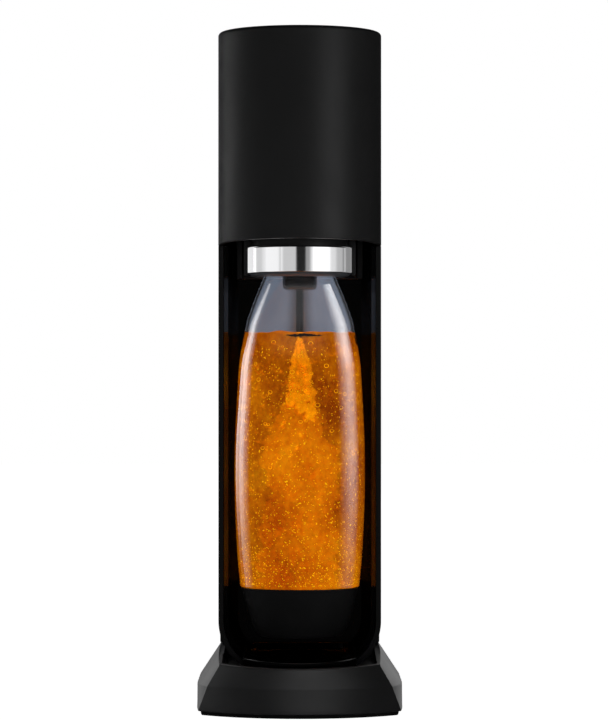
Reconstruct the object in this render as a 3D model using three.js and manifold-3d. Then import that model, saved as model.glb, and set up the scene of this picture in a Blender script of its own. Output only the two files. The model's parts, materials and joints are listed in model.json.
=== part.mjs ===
// Soda carbonator: a gas-driven machine that carbonates a bottle of drink.
// Millimetres, +Z up. The machine stands on z = 0 and its front faces -Y.
// Shapes are drawn around the bottle's axis (x = y = 0), and one group puts
// the middle of the footprint at the origin.
import * as THREE from 'three';
import { mergeVertices } from 'three/addons/utils/BufferGeometryUtils.js';
import Module from 'manifold-3d';

const wasm = await Module();
wasm.setup();

// ---------------------------------------------------------------- dimensions
const TOTAL_HEIGHT = 430;
const GAP = 0.3; // clearance between touching pieces
const TOP_CLEAR = 600; // above everything, for cutters

// base
const BASE_HALF_WIDTH = 65;
const BASE_FRONT = 67; // from the bottle axis to the front edge
const BASE_REAR = 118;
const BASE_BOTTOM = 2.4;
const FRONT_RADIUS = 86; // arc of the base's front
const REAR_RADIUS = 70;
const SKIRT_CORNER = 8; // fillet between the front arc and the sides
const REAR_CORNER = 34;
const SKIRT_TOP = 12; // the flare starts here
const FLARE_TOP = 60; // above the deck, where the uncut block ends
const RIM_HALF_WIDTH = 51.6; // outline of the rim round the top
const RIM_FRONT = 59;
const RIM_REAR = 113;
const RIM_CORNER = 6;
const RIM_WIDTH = 3.4;
const RECESS_DEPTH = 8; // inside the rim
const DECK_HEIGHT = 38.7; // level part of the top face, behind the slope
const DECK_AT_AXIS = 37.7; // height of the sloping top face at the bottle axis
const DECK_SLOPE = THREE.MathUtils.degToRad(7.4);
const BASE_WALL = 3;
const FOOT_HEIGHT = 2.1;

// column
const COLUMN_HALF_WIDTH = 51.7;
const COLUMN_FRONT = -2;
const COLUMN_BACK = 50;
const COLUMN_TOP = 294.4;
const COLUMN_BOTTOM = 22.2;
const COLUMN_CORNER = 34; // radius of the bottom corners, seen from the front
const COLUMN_WALL = 3.2;
const BACK_WALL_FRONT = 45.7;
const BACK_WALL_REAR = 48.2;
const TOWER_TOP = 400;
const BAY_DEPTH = 44;

// head and rear cover
const HEAD_RADIUS = 51.8;
const HEAD_WALL = 3;
const HEAD_BOTTOM = 294.7;
const HEAD_FRONT_RISE = 0.054; // the lower edge rises towards the front
const HEAD_EDGE = 2.5; // rounded top edge
const REAR_CENTRE = 61.2; // centre of the rear half-round
const COVER_TOP = 353.7;
const COVER_WALL = 2.4;

// button and gas valve
const BUTTON_RADIUS = 29;
const BUTTON_Y = 2;
const LEVER_PIVOT_Y = 99;
const LEVER_PIVOT_Z = 409;
const LEVER_FRONT_UNDERSIDE = 409.4;
const SPRING_SEAT_TOP = 401;
const SPRING_BOTTOM = 397.3;

// gas cylinder
const CYLINDER_Y = 79.4;
const CYLINDER_RADIUS = 30;
const CYLINDER_BOTTOM = 14;
const QUICK_PIVOT_Z = 382;
const QUICK_LEVER_REACH = 22;
const RELIEF_Z = 391;

// snap-lock collar
const PIVOT_Y = 28;
const PIVOT_Z = 303;
const RING_RADIUS = 33.2;
const RING_BOTTOM = 277.2;
const RING_TOP = 293.6;
const CARRIER_HALF_WIDTH = 35.5;
const HOUSING_HALF_WIDTH = 40.4;

// drip tray
const TRAY_RADIUS = 45;
const TRAY_HALF_WIDTH = 35.8;

// bottle
const CUP_BOTTOM = 46;
const CUP_TOP = 78;

// ---------------------------------------------------------------- materials
function finish(colour, roughness, metalness = 0) {
  return new THREE.MeshStandardMaterial({ color: colour, roughness, metalness });
}

const MATTE_BLACK = finish(0x1c1c1d, 0.55);
const GLOSS_BLACK = finish(0x08080a, 0.12);
const DARK_GREY = finish(0x2a2a2c, 0.6);
const GREY_PLASTIC = finish(0x8a8a8c, 0.5);
const CHROME = finish(0xd8d8d8, 0.12, 1);
const STEEL = finish(0xa6a8aa, 0.35, 1);
const BRASS = finish(0xb08d45, 0.35, 1);
const RUBBER = finish(0x111111, 0.9);
const CLEAR = finish(0xe8eef0, 0.05);
const CUP_BLACK = finish(0x232324, 0.5);
const CYLINDER_BLUE = finish(0x3f6f93, 0.4, 0.2);
const LEVER_TEAL = finish(0x4f9a94, 0.45);

// ---------------------------------------------------------------- solid helpers
function signedVolume(positions, indices) {
  const a = new THREE.Vector3();
  const b = new THREE.Vector3();
  const c = new THREE.Vector3();
  let volume = 0;
  for (let i = 0; i < indices.length; i += 3) {
    a.fromArray(positions, indices[i] * 3);
    b.fromArray(positions, indices[i + 1] * 3);
    c.fromArray(positions, indices[i + 2] * 3);
    volume += a.dot(b.cross(c)) / 6;
  }
  return volume;
}

// Merged vertices, no collapsed triangles, faces pointing out.
function closed(geometry) {
  const bare = geometry.clone();
  bare.deleteAttribute('normal');
  bare.deleteAttribute('uv');
  const merged = mergeVertices(bare, 1e-4);
  const source = merged.index.array;
  const indices = [];
  for (let i = 0; i < source.length; i += 3) {
    const [a, b, c] = [source[i], source[i + 1], source[i + 2]];
    if (a !== b && b !== c && c !== a) {
      indices.push(a, b, c);
    }
  }
  const positions = merged.attributes.position.array;
  if (signedVolume(positions, indices) < 0) {
    for (let i = 0; i < indices.length; i += 3) {
      [indices[i + 1], indices[i + 2]] = [indices[i + 2], indices[i + 1]];
    }
  }
  return { positions: Float32Array.from(positions), indices: Uint32Array.from(indices) };
}

function solid(geometry) {
  const { positions, indices } = closed(geometry);
  return new wasm.Manifold(new wasm.Mesh({ numProp: 3, vertProperties: positions, triVerts: indices }));
}

function cut(body, ...tools) {
  return tools.reduce((left, tool) => left.subtract(tool), body);
}

function join(...bodies) {
  return bodies.reduce((left, body) => left.add(body));
}

function toGeometry(shape) {
  const geometry = new THREE.BufferGeometry();
  if (shape instanceof THREE.BufferGeometry) {
    const { positions, indices } = closed(shape);
    geometry.setAttribute('position', new THREE.BufferAttribute(positions, 3));
    geometry.setIndex(new THREE.BufferAttribute(indices, 1));
  } else {
    const mesh = shape.getMesh();
    geometry.setAttribute('position', new THREE.BufferAttribute(mesh.vertProperties, 3));
    geometry.setIndex(new THREE.BufferAttribute(mesh.triVerts, 1));
  }
  geometry.computeVertexNormals();
  return geometry;
}

const model = new THREE.Group();
const machine = new THREE.Group();
machine.position.y = (BASE_FRONT - BASE_REAR) / 2;
model.add(machine);

function add(name, shape, material) {
  const mesh = new THREE.Mesh(toGeometry(shape), material);
  mesh.name = name;
  machine.add(mesh);
  return mesh;
}

// Box from its lowest and highest corner.
function box(low, high) {
  const size = high.map((value, i) => value - low[i]);
  const geometry = new THREE.BoxGeometry(...size);
  geometry.translate(...low.map((value, i) => value + size[i] / 2));
  return geometry;
}

// Round bar along one axis, between two places on that axis.
function bar(axis, radius, from, to, across, segments = 14) {
  const geometry = new THREE.CylinderGeometry(radius, radius, to - from, segments);
  const middle = (from + to) / 2;
  if (axis === 'x') {
    geometry.rotateZ(Math.PI / 2);
    geometry.translate(middle, across[0], across[1]);
  } else if (axis === 'y') {
    geometry.translate(across[0], middle, across[1]);
  } else {
    geometry.rotateX(Math.PI / 2);
    geometry.translate(across[0], across[1], middle);
  }
  return geometry;
}

// Turned piece: pairs of radius and height, about a vertical axis at y.
function turned(profile, y = 0, segments = 28) {
  const points = profile.map(([r, z]) => new THREE.Vector2(r, z));
  const geometry = new THREE.LatheGeometry(points, segments);
  geometry.rotateX(Math.PI / 2);
  geometry.translate(0, y, 0);
  return geometry;
}

function ringProfile(inner, outer, bottom, top) {
  return [[inner, bottom], [outer, bottom], [outer, top], [inner, top], [inner, bottom]];
}

// Outline in the XY plane, raised from one height to another.
function prism(shape, bottom, top, curveSegments = 10) {
  const geometry = new THREE.ExtrudeGeometry(shape, {
    depth: top - bottom, bevelEnabled: false, curveSegments,
  });
  geometry.translate(0, 0, bottom);
  return geometry;
}

// Outline in the YZ plane, run along X.
function prismAcross(points, left, right) {
  const shape = new THREE.Shape(points.map(([y, z]) => new THREE.Vector2(y, z)));
  const geometry = new THREE.ExtrudeGeometry(shape, { depth: right - left, bevelEnabled: false });
  geometry.rotateX(Math.PI / 2);
  geometry.rotateZ(Math.PI / 2);
  geometry.translate(left, 0, 0);
  return geometry;
}

// Closed skin through rings with equal numbers of points, with a cap at each end.
function loft(rings) {
  const count = rings[0].length;
  const positions = rings.flat().flatMap((point) => [point.x, point.y, point.z]);
  const indices = [];
  for (let ring = 0; ring < rings.length - 1; ring += 1) {
    for (let i = 0; i < count; i += 1) {
      const next = (i + 1) % count;
      const [a, b] = [ring * count + i, ring * count + next];
      indices.push(a, b, b + count, a, b + count, a + count);
    }
  }
  const last = (rings.length - 1) * count;
  const flat = rings[0].map((point) => {
    const upright = Math.abs(rings[0][0].y - rings[1][0].y) > Math.abs(rings[0][0].z - rings[1][0].z);
    return new THREE.Vector2(point.x, upright ? point.z : point.y);
  });
  THREE.ShapeUtils.triangulateShape(flat, []).forEach(([a, b, c]) => {
    indices.push(a, c, b, last + a, last + b, last + c);
  });
  const geometry = new THREE.BufferGeometry();
  geometry.setAttribute('position', new THREE.Float32BufferAttribute(positions, 3));
  geometry.setIndex(indices);
  return geometry;
}

// ---------------------------------------------------------------- outlines
// Plan of the head: two half-rounds joined by straight sides.
function stadium(radius, frontCentre = 0, rearCentre = REAR_CENTRE) {
  const shape = new THREE.Shape();
  shape.absarc(0, frontCentre, radius, Math.PI, 2 * Math.PI, false);
  shape.absarc(0, rearCentre, radius, 0, Math.PI, false);
  shape.closePath();
  return shape;
}

// Outline of the base: a wide arc in front and a rounder one behind, joined to
// straight sides by fillets that meet every line in a smooth curve.
function baseRing(halfWidth, front, rear, corner, height) {
  const frontCentre = FRONT_RADIUS - front;
  const rearCentre = rear - REAR_RADIUS;
  const frontReach = Math.sqrt((FRONT_RADIUS - corner) ** 2 - (halfWidth - corner) ** 2);
  const rearReach = Math.sqrt((REAR_RADIUS - REAR_CORNER) ** 2 - (halfWidth - REAR_CORNER) ** 2);
  const frontTurn = Math.atan2(frontReach, halfWidth - corner);
  const rearTurn = Math.atan2(rearReach, halfWidth - REAR_CORNER);
  const arcs = [
    [0, frontCentre, FRONT_RADIUS, frontTurn - Math.PI, -frontTurn, 12],
    [halfWidth - corner, frontCentre - frontReach, corner, -frontTurn, 0, 4],
    [halfWidth - REAR_CORNER, rearCentre + rearReach, REAR_CORNER, 0, rearTurn, 4],
    [0, rearCentre, REAR_RADIUS, rearTurn, Math.PI - rearTurn, 8],
    [REAR_CORNER - halfWidth, rearCentre + rearReach, REAR_CORNER, Math.PI - rearTurn, Math.PI, 4],
    [corner - halfWidth, frontCentre - frontReach, corner, Math.PI, Math.PI + frontTurn, 4],
  ];
  const points = arcs.flatMap(([x, y, radius, from, to, steps]) => (
    Array.from({ length: steps + 1 }, (_, i) => {
      const angle = from + ((to - from) * i) / steps;
      return new THREE.Vector3(x + radius * Math.cos(angle), y + radius * Math.sin(angle), height);
    })));
  return points.filter((point, i) => point.distanceTo(points.at(i - 1)) > 0.001);
}

// The column seen from the front: straight sides and a rounded bottom.
function columnRing(inset, y, top = TOP_CLEAR, cornerSteps = 6) {
  const radius = COLUMN_CORNER - inset;
  const centreX = COLUMN_HALF_WIDTH - COLUMN_CORNER;
  const centreZ = COLUMN_BOTTOM + COLUMN_CORNER;
  const points = [new THREE.Vector3(-centreX - radius, y, top)];
  for (const [side, start] of [[-1, Math.PI], [1, 1.5 * Math.PI]]) {
    for (let i = 0; i <= cornerSteps; i += 1) {
      const angle = start + (0.5 * Math.PI * i) / cornerSteps;
      points.push(new THREE.Vector3(
        side * centreX + radius * Math.cos(angle), y, centreZ + radius * Math.sin(angle)));
    }
  }
  points.push(new THREE.Vector3(centreX + radius, y, top));
  return points;
}

function columnBlock(inset, front, back, top) {
  return solid(loft([columnRing(inset, front, top), columnRing(inset, back, top)]));
}

// Puts a shape drawn level at the bottle axis onto the sloping top face.
function onSlope(geometry) {
  geometry.rotateX(DECK_SLOPE);
  geometry.translate(0, 0, DECK_AT_AXIS);
  return geometry;
}

// ---------------------------------------------------------------- base
function deckHeight(y) {
  return Math.min(DECK_HEIGHT, DECK_AT_AXIS + y * Math.tan(DECK_SLOPE));
}

// The plinth's outside, or its inside at a wall's thickness in. Its walls lean in
// from the skirt to the rim, and its top lies a drop below the deck.
function flaredBlock(inset, bottom, drop) {
  const skirt = (less, height) => baseRing(
    BASE_HALF_WIDTH - less - inset, BASE_FRONT - less - inset, BASE_REAR - less - inset,
    SKIRT_CORNER, height);
  const rim = rimRing(inset, 0).map((point) => point.setZ(deckHeight(point.y) + 0.05));
  const block = solid(loft([
    skirt(1.2, bottom), skirt(0, bottom + 1.6), skirt(0.3, SKIRT_TOP - 1.5), skirt(1.1, SKIRT_TOP + 1),
    rim, rim.map((point) => point.clone().setZ(FLARE_TOP)),
  ]));
  return cut(block, aboveDeck(-drop));
}

function rimRing(inset, height) {
  return baseRing(RIM_HALF_WIDTH - inset, RIM_FRONT - inset, RIM_REAR - inset, RIM_CORNER, height);
}

// Everything above the deck, or above a surface that lies parallel to it.
function aboveDeck(lift) {
  const level = solid(box([-90, -90, DECK_HEIGHT + lift], [90, 150, 90]));
  const slope = solid(onSlope(box([-90, -120, lift], [90, 120, 90])));
  return join(level, slope);
}

function makeBasePlinth() {
  const inside = flaredBlock(BASE_WALL, BASE_BOTTOM - 4, RECESS_DEPTH + BASE_WALL);
  const shell = cut(flaredBlock(0, BASE_BOTTOM, 0), inside);
  const behindRim = solid(box([-90, COLUMN_BACK - 2, 0], [90, 200, 90]));
  const recess = cut(
    solid(loft([rimRing(RIM_WIDTH, 0), rimRing(RIM_WIDTH, 80)])).intersect(aboveDeck(-RECESS_DEPTH)), behindRim);
  const column = columnBlock(-GAP, COLUMN_FRONT - GAP, COLUMN_BACK + GAP, 80);
  const cylinderBay = solid(bar('z', CYLINDER_RADIUS + 2, 0, 80, [0, CYLINDER_Y], 28));
  const behindColumn = solid(box([-CYLINDER_RADIUS, COLUMN_BACK - 2, 18], [CYLINDER_RADIUS, CYLINDER_Y, 80]));
  return cut(shell, recess, column, cylinderBay, behindColumn);
}

const SCREW_PLACES = [[-30, 8], [30, 8], [-30, 36], [30, 36]];

function makeBasePlate() {
  const inset = BASE_WALL + 1.6;
  const plate = solid(loft([2.7, 5.2].map((height) => baseRing(
    BASE_HALF_WIDTH - inset, BASE_FRONT - inset, BASE_REAR - inset, SKIRT_CORNER, height))));
  const holes = SCREW_PLACES.map(([x, y]) => solid(bar('z', 2.6, 0, 10, [x, y], 10)));
  return cut(plate, ...holes);
}

// A strip that follows the base's front or rear edge, 9 mm wide.
function makeFootStrip(front) {
  const outer = solid(loft([0, FOOT_HEIGHT].map((height) => baseRing(58, 63, 113, SKIRT_CORNER, height))));
  const ends = [-1, FOOT_HEIGHT + 1];
  const inner = solid(loft(ends.map((height) => baseRing(49, 54, 104, SKIRT_CORNER, height))));
  const span = front
    ? box([-46, -90, -2], [46, -25, 6])
    : box([-46, 80, -2], [46, 140, 6]);
  return cut(outer, inner).intersect(solid(span));
}

function makeBaseScrew([x, y]) {
  return turned([[0, 1.2], [4.2, 1.2], [4.2, 2.3], [2.2, 2.3], [2.2, 14], [0, 14]], 0, 10)
    .translate(x, y, 0);
}

// Shallow tray with a round front, lying in the recess between the column's
// sides, which it follows with a small gap. Its rim stands just above the deck.
function makeDripTray() {
  const outline = (inset, floor) => {
    const across = TRAY_HALF_WIDTH - inset;
    const disc = solid(bar('z', TRAY_RADIUS - inset, 0, 90, [0, 0], 56));
    const sides = solid(box([-across, -60, 0], [across, BAY_DEPTH - 1 - inset, 90]));
    return disc.intersect(sides).intersect(aboveDeck(floor));
  };
  const rim = 0.8;
  const dish = cut(outline(0, GAP - RECESS_DEPTH), aboveDeck(rim), outline(1.8, -4.5));
  return cut(dish, cut(columnBlock(-8, COLUMN_FRONT - GAP, 80, 90), bayHollow(0.4)));
}

// ---------------------------------------------------------------- column
function makeColumnFrame() {
  const walls = cut(
    columnBlock(0, COLUMN_FRONT, COLUMN_BACK, COLUMN_TOP),
    columnBlock(COLUMN_WALL, COLUMN_FRONT - 5, BACK_WALL_FRONT, TOP_CLEAR),
    columnBlock(COLUMN_WALL, BACK_WALL_REAR, COLUMN_BACK + 5, TOP_CLEAR),
    solid(bar('z', CYLINDER_RADIUS + 0.8, 0, 60, [0, CYLINDER_Y], 28)));
  const tower = solid(box([-38, BACK_WALL_FRONT, COLUMN_TOP - 8], [38, BACK_WALL_REAR, TOWER_TOP]));
  const hoseSlot = solid(box([2, BACK_WALL_FRONT - 5, 372], [18, BACK_WALL_REAR + 5, 392]));
  const legs = SCREW_PLACES.map(([x, y]) => {
    const leg = solid(bar('z', 5, 5.5, 30, [x, y], 20));
    const thread = solid(bar('z', 2.4, 4, 15, [x, y], 10));
    return cut(leg, columnBlock(COLUMN_WALL - 0.1, -10, 60, 90), thread);
  });
  const screwHoles = HOUSING_SCREW_PLACES.concat(BRACKET_SCREW_PLACES)
    .map(([x, z]) => solid(bar('y', 2.3, BACK_WALL_FRONT - 5, BACK_WALL_REAR + 5, [x, z], 10)));
  return cut(join(walls, tower, ...legs), hoseSlot, ...screwHoles);
}

// The space for the bottle narrows towards the back, with a bevel at the mouth
// and another one where the sides meet the back. A margin makes it smaller all round.
function bayHollow(margin) {
  return solid(loft([
    columnRing(COLUMN_WALL + 0.1 + margin, COLUMN_FRONT - 3),
    columnRing(COLUMN_WALL + 0.1 + margin, COLUMN_FRONT + 0.1),
    columnRing(6.1 + margin, 1.4),
    columnRing(7.9 + margin, 38),
    columnRing(11.8 + margin, BAY_DEPTH - margin),
  ]));
}

// Glossy lining of the column's front.
function makeBayLiner() {
  const outside = columnBlock(COLUMN_WALL + GAP, COLUMN_FRONT + 0.2, BACK_WALL_FRONT - GAP, COLUMN_TOP);
  return cut(outside, bayHollow(0));
}

// ---------------------------------------------------------------- head and cover
function roundedHead() {
  const geometry = new THREE.ExtrudeGeometry(stadium(HEAD_RADIUS), {
    depth: 200 - 2 * HEAD_EDGE, bevelEnabled: true, bevelThickness: HEAD_EDGE,
    bevelSize: HEAD_EDGE, bevelOffset: -HEAD_EDGE, bevelSegments: 2, curveSegments: 14,
  });
  geometry.translate(0, 0, TOTAL_HEIGHT - 200 + HEAD_EDGE);
  return solid(geometry);
}

function makeHeadShell() {
  const hollow = solid(prism(stadium(HEAD_RADIUS - HEAD_WALL), 100, TOTAL_HEIGHT - HEAD_WALL, 12));
  const below = solid(prismAcross([
    [-80, 100], [COLUMN_BACK + GAP, 100], [COLUMN_BACK + GAP, HEAD_BOTTOM], [0, HEAD_BOTTOM],
    [-80, HEAD_BOTTOM + 80 * HEAD_FRONT_RISE],
  ], -90, 90));
  const behind = solid(box([-90, COLUMN_BACK, 100], [90, 200, COVER_TOP + GAP]));
  const buttonHole = solid(bar('z', BUTTON_RADIUS + 0.5, TOTAL_HEIGHT - 10, TOP_CLEAR, [0, BUTTON_Y], 32));
  return cut(roundedHead(), hollow, below, behind, buttonHole);
}

function makeRearCover() {
  const bottom = DECK_HEIGHT + GAP;
  const outer = solid(prism(stadium(HEAD_RADIUS), bottom, COVER_TOP, 14));
  const inner = solid(prism(stadium(HEAD_RADIUS - COVER_WALL), 0, TOP_CLEAR, 12));
  const front = solid(box([-90, -90, 0], [90, COLUMN_BACK + GAP, TOP_CLEAR]));
  return cut(outer, inner, front);
}

// ---------------------------------------------------------------- button
function makeButtonCap() {
  const top = TOTAL_HEIGHT - 0.6;
  const cap = turned([
    [0, top - 1.4], [BUTTON_RADIUS - 9, top - 0.9], [BUTTON_RADIUS - 1.6, top], [BUTTON_RADIUS - 0.4, top - 0.3],
    [BUTTON_RADIUS, top - 1.2], [BUTTON_RADIUS, top - 9], [BUTTON_RADIUS - 2, top - 9],
    [BUTTON_RADIUS - 2, top - 3.4], [3.4, top - 3.8], [3.4, 413.4], [0, 413.4],
  ], BUTTON_Y, 28);
  return cap;
}

// Shelf across the head with a cup for the spring under the valve lever.
function makeSpringSeat() {
  const shelf = solid(prism(stadium(HEAD_RADIUS - HEAD_WALL - 0.4, 0, 30), 394, 397, 8));
  const rear = solid(box([-60, 36, 380], [60, 90, 410]));
  const cup = solid(bar('z', 7, 396, SPRING_SEAT_TOP, [0, BUTTON_Y], 10));
  const bore = solid(bar('z', 5.6, 397, 420, [0, BUTTON_Y], 10));
  return cut(join(cut(shelf, rear), cup), bore);
}

// Coil spring that lifts the lever's front end and the button.
function makeButtonSpring() {
  const turns = 3.5;
  const radius = 4.2;
  const wireRadius = 0.6;
  const top = LEVER_FRONT_UNDERSIDE - GAP - wireRadius;
  class Coil extends THREE.Curve {
    getPoint(t, target = new THREE.Vector3()) {
      const angle = 2 * Math.PI * turns * t;
      return target.set(radius * Math.cos(angle), BUTTON_Y + radius * Math.sin(angle),
        THREE.MathUtils.lerp(SPRING_BOTTOM + wireRadius, top, t));
    }
  }
  const wire = new THREE.Shape();
  wire.absarc(0, 0, wireRadius, 0, 2 * Math.PI, false);
  return new THREE.ExtrudeGeometry(wire, {
    steps: 40, bevelEnabled: false, extrudePath: new Coil(), curveSegments: 3,
  });
}

// ---------------------------------------------------------------- gas valve
const BRACKET_SCREW_PLACES = [[-24, 388], [24, 388]];
const HOUSING_SCREW_PLACES = [[-26, 316], [26, 316]];

// Angle bracket on the tower: carries the connector block and the lever's pivot.
function makeValveBracket() {
  const flange = solid(box([-32, BACK_WALL_REAR + GAP, 378], [32, BACK_WALL_REAR + 2.5, 399]));
  const insideHead = solid(prism(stadium(HEAD_RADIUS - HEAD_WALL - 0.8), 390, 410));
  const plate = solid(box([-32, BACK_WALL_REAR + GAP, 396.4], [32, 105, 399])).intersect(insideHead);
  const ears = [-1, 1].map((side) => {
    const ear = solid(box([side * 8 - 1.5, 94, 398], [side * 8 + 1.5, 104, 414]));
    return cut(ear, solid(bar('x', 2.3, -20, 20, [LEVER_PIVOT_Y, LEVER_PIVOT_Z], 10)));
  });
  const pinHole = solid(bar('z', 4, 390, 405, [0, CYLINDER_Y], 24));
  const hoseGap = solid(box([1, BACK_WALL_REAR - 1, 370], [19, BACK_WALL_REAR + 4, 392.5]));
  const screwHoles = BRACKET_SCREW_PLACES
    .map(([x, z]) => solid(bar('y', 2.3, BACK_WALL_REAR - 5, BACK_WALL_REAR + 9, [x, z], 10)));
  return cut(join(flange, plate, ...ears), pinHole, hoseGap, ...screwHoles);
}

// Screw along +Y or -Y, its head on the near side.
function makeCrossScrew([x, z], headY, direction) {
  const shape = turned([[0, 0], [3.8, 0], [3.8, 2], [2, 2], [2, 8], [0, 8]], 0, 10);
  shape.rotateX(direction > 0 ? -Math.PI / 2 : Math.PI / 2);
  return shape.translate(x, headY, z);
}

function makeConnectorBlock() {
  const block = solid(bar('z', 16, 372, 396.1, [0, CYLINDER_Y], 24));
  const socket = solid(bar('z', 10.6, 370, 388, [0, CYLINDER_Y], 24));
  const pinBore = solid(bar('z', 2.4, 385, 400, [0, CYLINDER_Y], 20));
  const port = solid(bar('y', 2, 60, 76, [10, 382], 10));
  const axle = solid(bar('x', 2.6, -25, 25, [CYLINDER_Y, QUICK_PIVOT_Z], 10));
  const keep = solid(bar('x', 4.5, -11, 11, [CYLINDER_Y, QUICK_PIVOT_Z], 10));
  const reliefPort = solid(bar('y', 3, 90, 100, [0, RELIEF_Z], 10));
  return cut(block, socket, pinBore, port, cut(axle, keep), reliefPort);
}

function makeInletSeal() {
  return turned(ringProfile(5, 10, 385.2, 387.7), CYLINDER_Y, 20);
}

function makeValvePin() {
  return turned([[0, 384.4], [1.6, 384.4], [2.1, 385.4], [2.1, 400.6], [3.4, 400.6], [3.4, 402.6], [0, 402.6]],
    CYLINDER_Y, 20);
}

// Long bar from its rear pivot, over the valve pin, to the button's stem.
function makeValveLever() {
  const middle = solid(prismAcross([
    [BUTTON_Y - 5, LEVER_FRONT_UNDERSIDE], [BUTTON_Y - 5, 413], [30, 413], [60, 412], [LEVER_PIVOT_Y, 413.5],
    [LEVER_PIVOT_Y + 4, 411], [LEVER_PIVOT_Y + 4, 407], [LEVER_PIVOT_Y, 404.6],
    [CYLINDER_Y + 6, 404.2], [CYLINDER_Y + 3, 403], [CYLINDER_Y - 3, 403], [CYLINDER_Y - 6, 404.2],
    [30, 407], [BUTTON_Y + 6, LEVER_FRONT_UNDERSIDE],
  ], -4.5, 4.5));
  return cut(middle, solid(bar('x', 2.5, -20, 20, [LEVER_PIVOT_Y, LEVER_PIVOT_Z], 14)));
}

function makeValveLeverPin() {
  return bar('x', 2, -11, 11, [LEVER_PIVOT_Y, LEVER_PIVOT_Z], 14);
}

function makeReliefValve() {
  const shape = turned([[0, 0], [2.6, 0], [2.6, 6], [3.8, 6], [3.8, 8.5], [2.8, 10], [0, 10]], 0, 14);
  shape.rotateX(-Math.PI / 2);
  return shape.translate(0, 91.5, RELIEF_Z);
}

// Hose from the connector block forward through the tower and down to the pivot.
function makeGasHose() {
  const route = new THREE.CatmullRomCurve3([
    [10, 63.4, 382], [10, 54, 382], [10, 44, 381], [12, 36, 374], [20, 32, 358], [30, 33, 340], [38, 33.5, 326],
  ].map((point) => new THREE.Vector3(...point)));
  const section = new THREE.Shape();
  section.absarc(0, 0, 2.5, 0, 2 * Math.PI, false);
  return new THREE.ExtrudeGeometry(section, {
    steps: 18, bevelEnabled: false, extrudePath: route, curveSegments: 4,
  });
}

// ---------------------------------------------------------------- quick connect

// Yoke around the connector block; its handle hangs below and behind the pivots.
function makeQuickLever() {
  const angle = THREE.MathUtils.degToRad(50);
  const handleY = CYLINDER_Y + QUICK_LEVER_REACH * Math.cos(angle);
  const handleZ = QUICK_PIVOT_Z - QUICK_LEVER_REACH * Math.sin(angle);
  const arms = [-1, 1].map((side) => {
    const arm = solid(prismAcross([
      [CYLINDER_Y - 4, QUICK_PIVOT_Z + 3.5], [CYLINDER_Y + 3, QUICK_PIVOT_Z + 4.5],
      [handleY + 2.2, handleZ + 1.4], [handleY, handleZ - 2.3], [CYLINDER_Y - 4.5, QUICK_PIVOT_Z - 3],
    ], side * 19 - 2.2, side * 19 + 2.2));
    return cut(arm, solid(bar('x', 2.7, -30, 30, [CYLINDER_Y, QUICK_PIVOT_Z], 10)));
  });
  return join(...arms, solid(bar('x', 2.4, -20, 20, [handleY, handleZ], 10)));
}

function makeQuickLeverPin(side) {
  const [from, to] = [side * 11.5, side * 22.5].sort((a, b) => a - b);
  return bar('x', 2.3, from, to, [CYLINDER_Y, QUICK_PIVOT_Z], 16);
}

// ---------------------------------------------------------------- gas cylinder
function makeGasCylinder() {
  const r = CYLINDER_RADIUS;
  const z = CYLINDER_BOTTOM;
  const wall = 2.6;
  const mouth = 6; // radius of the opening that the valve closes
  return turned([
    [0, z + 4], [16, z + 1], [24, z], [r - 1.5, z + 1.5], [r, z + 6], [r, 318], [r - 2, 328], [r - 7, 338],
    [r - 14, 345], [11, 349], [11, 353.5], [mouth, 353.5], [mouth, 347], [r - 17, 342.5], [r - 9, 336],
    [r - wall, 318], [r - wall, z + 7], [24, z + wall], [16, z + 1 + wall], [0, z + 4 + wall],
  ], CYLINDER_Y, 24);
}

function makeCylinderValve() {
  return turned([
    [0, 353.8], [12, 353.8], [12.5, 355], [12.5, 362], [9.8, 363], [9.8, 381.4], [9, 382.4], [0, 382.4],
  ], CYLINDER_Y, 20);
}

// ---------------------------------------------------------------- snap-lock collar
// Fixed yoke behind the collar: two cheeks, a back and a flange on the tower.
function makeLockHousing() {
  const w = HOUSING_HALF_WIDTH;
  const block = solid(box([-w, 20, 274.5], [w, 41.2, 324]));
  const flange = solid(box([-w, 38, COLUMN_TOP + 1], [w, BACK_WALL_FRONT - GAP, 324]));
  const hollow = solid(box([-w + 3.6, 10, 270], [w - 3.6, 38.6, 340]));
  const frontCorner = solid(prismAcross([[10, 305], [22, 330], [10, 330]], -60, 60));
  const pins = solid(bar('x', 3.4, -60, 60, [PIVOT_Y, PIVOT_Z], 14));
  const screwHoles = HOUSING_SCREW_PLACES
    .map(([x, z]) => solid(bar('y', 2.3, 30, 60, [x, z], 10)));
  return cut(join(block, flange), hollow, frontCorner, pins, ...screwHoles);
}

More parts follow.
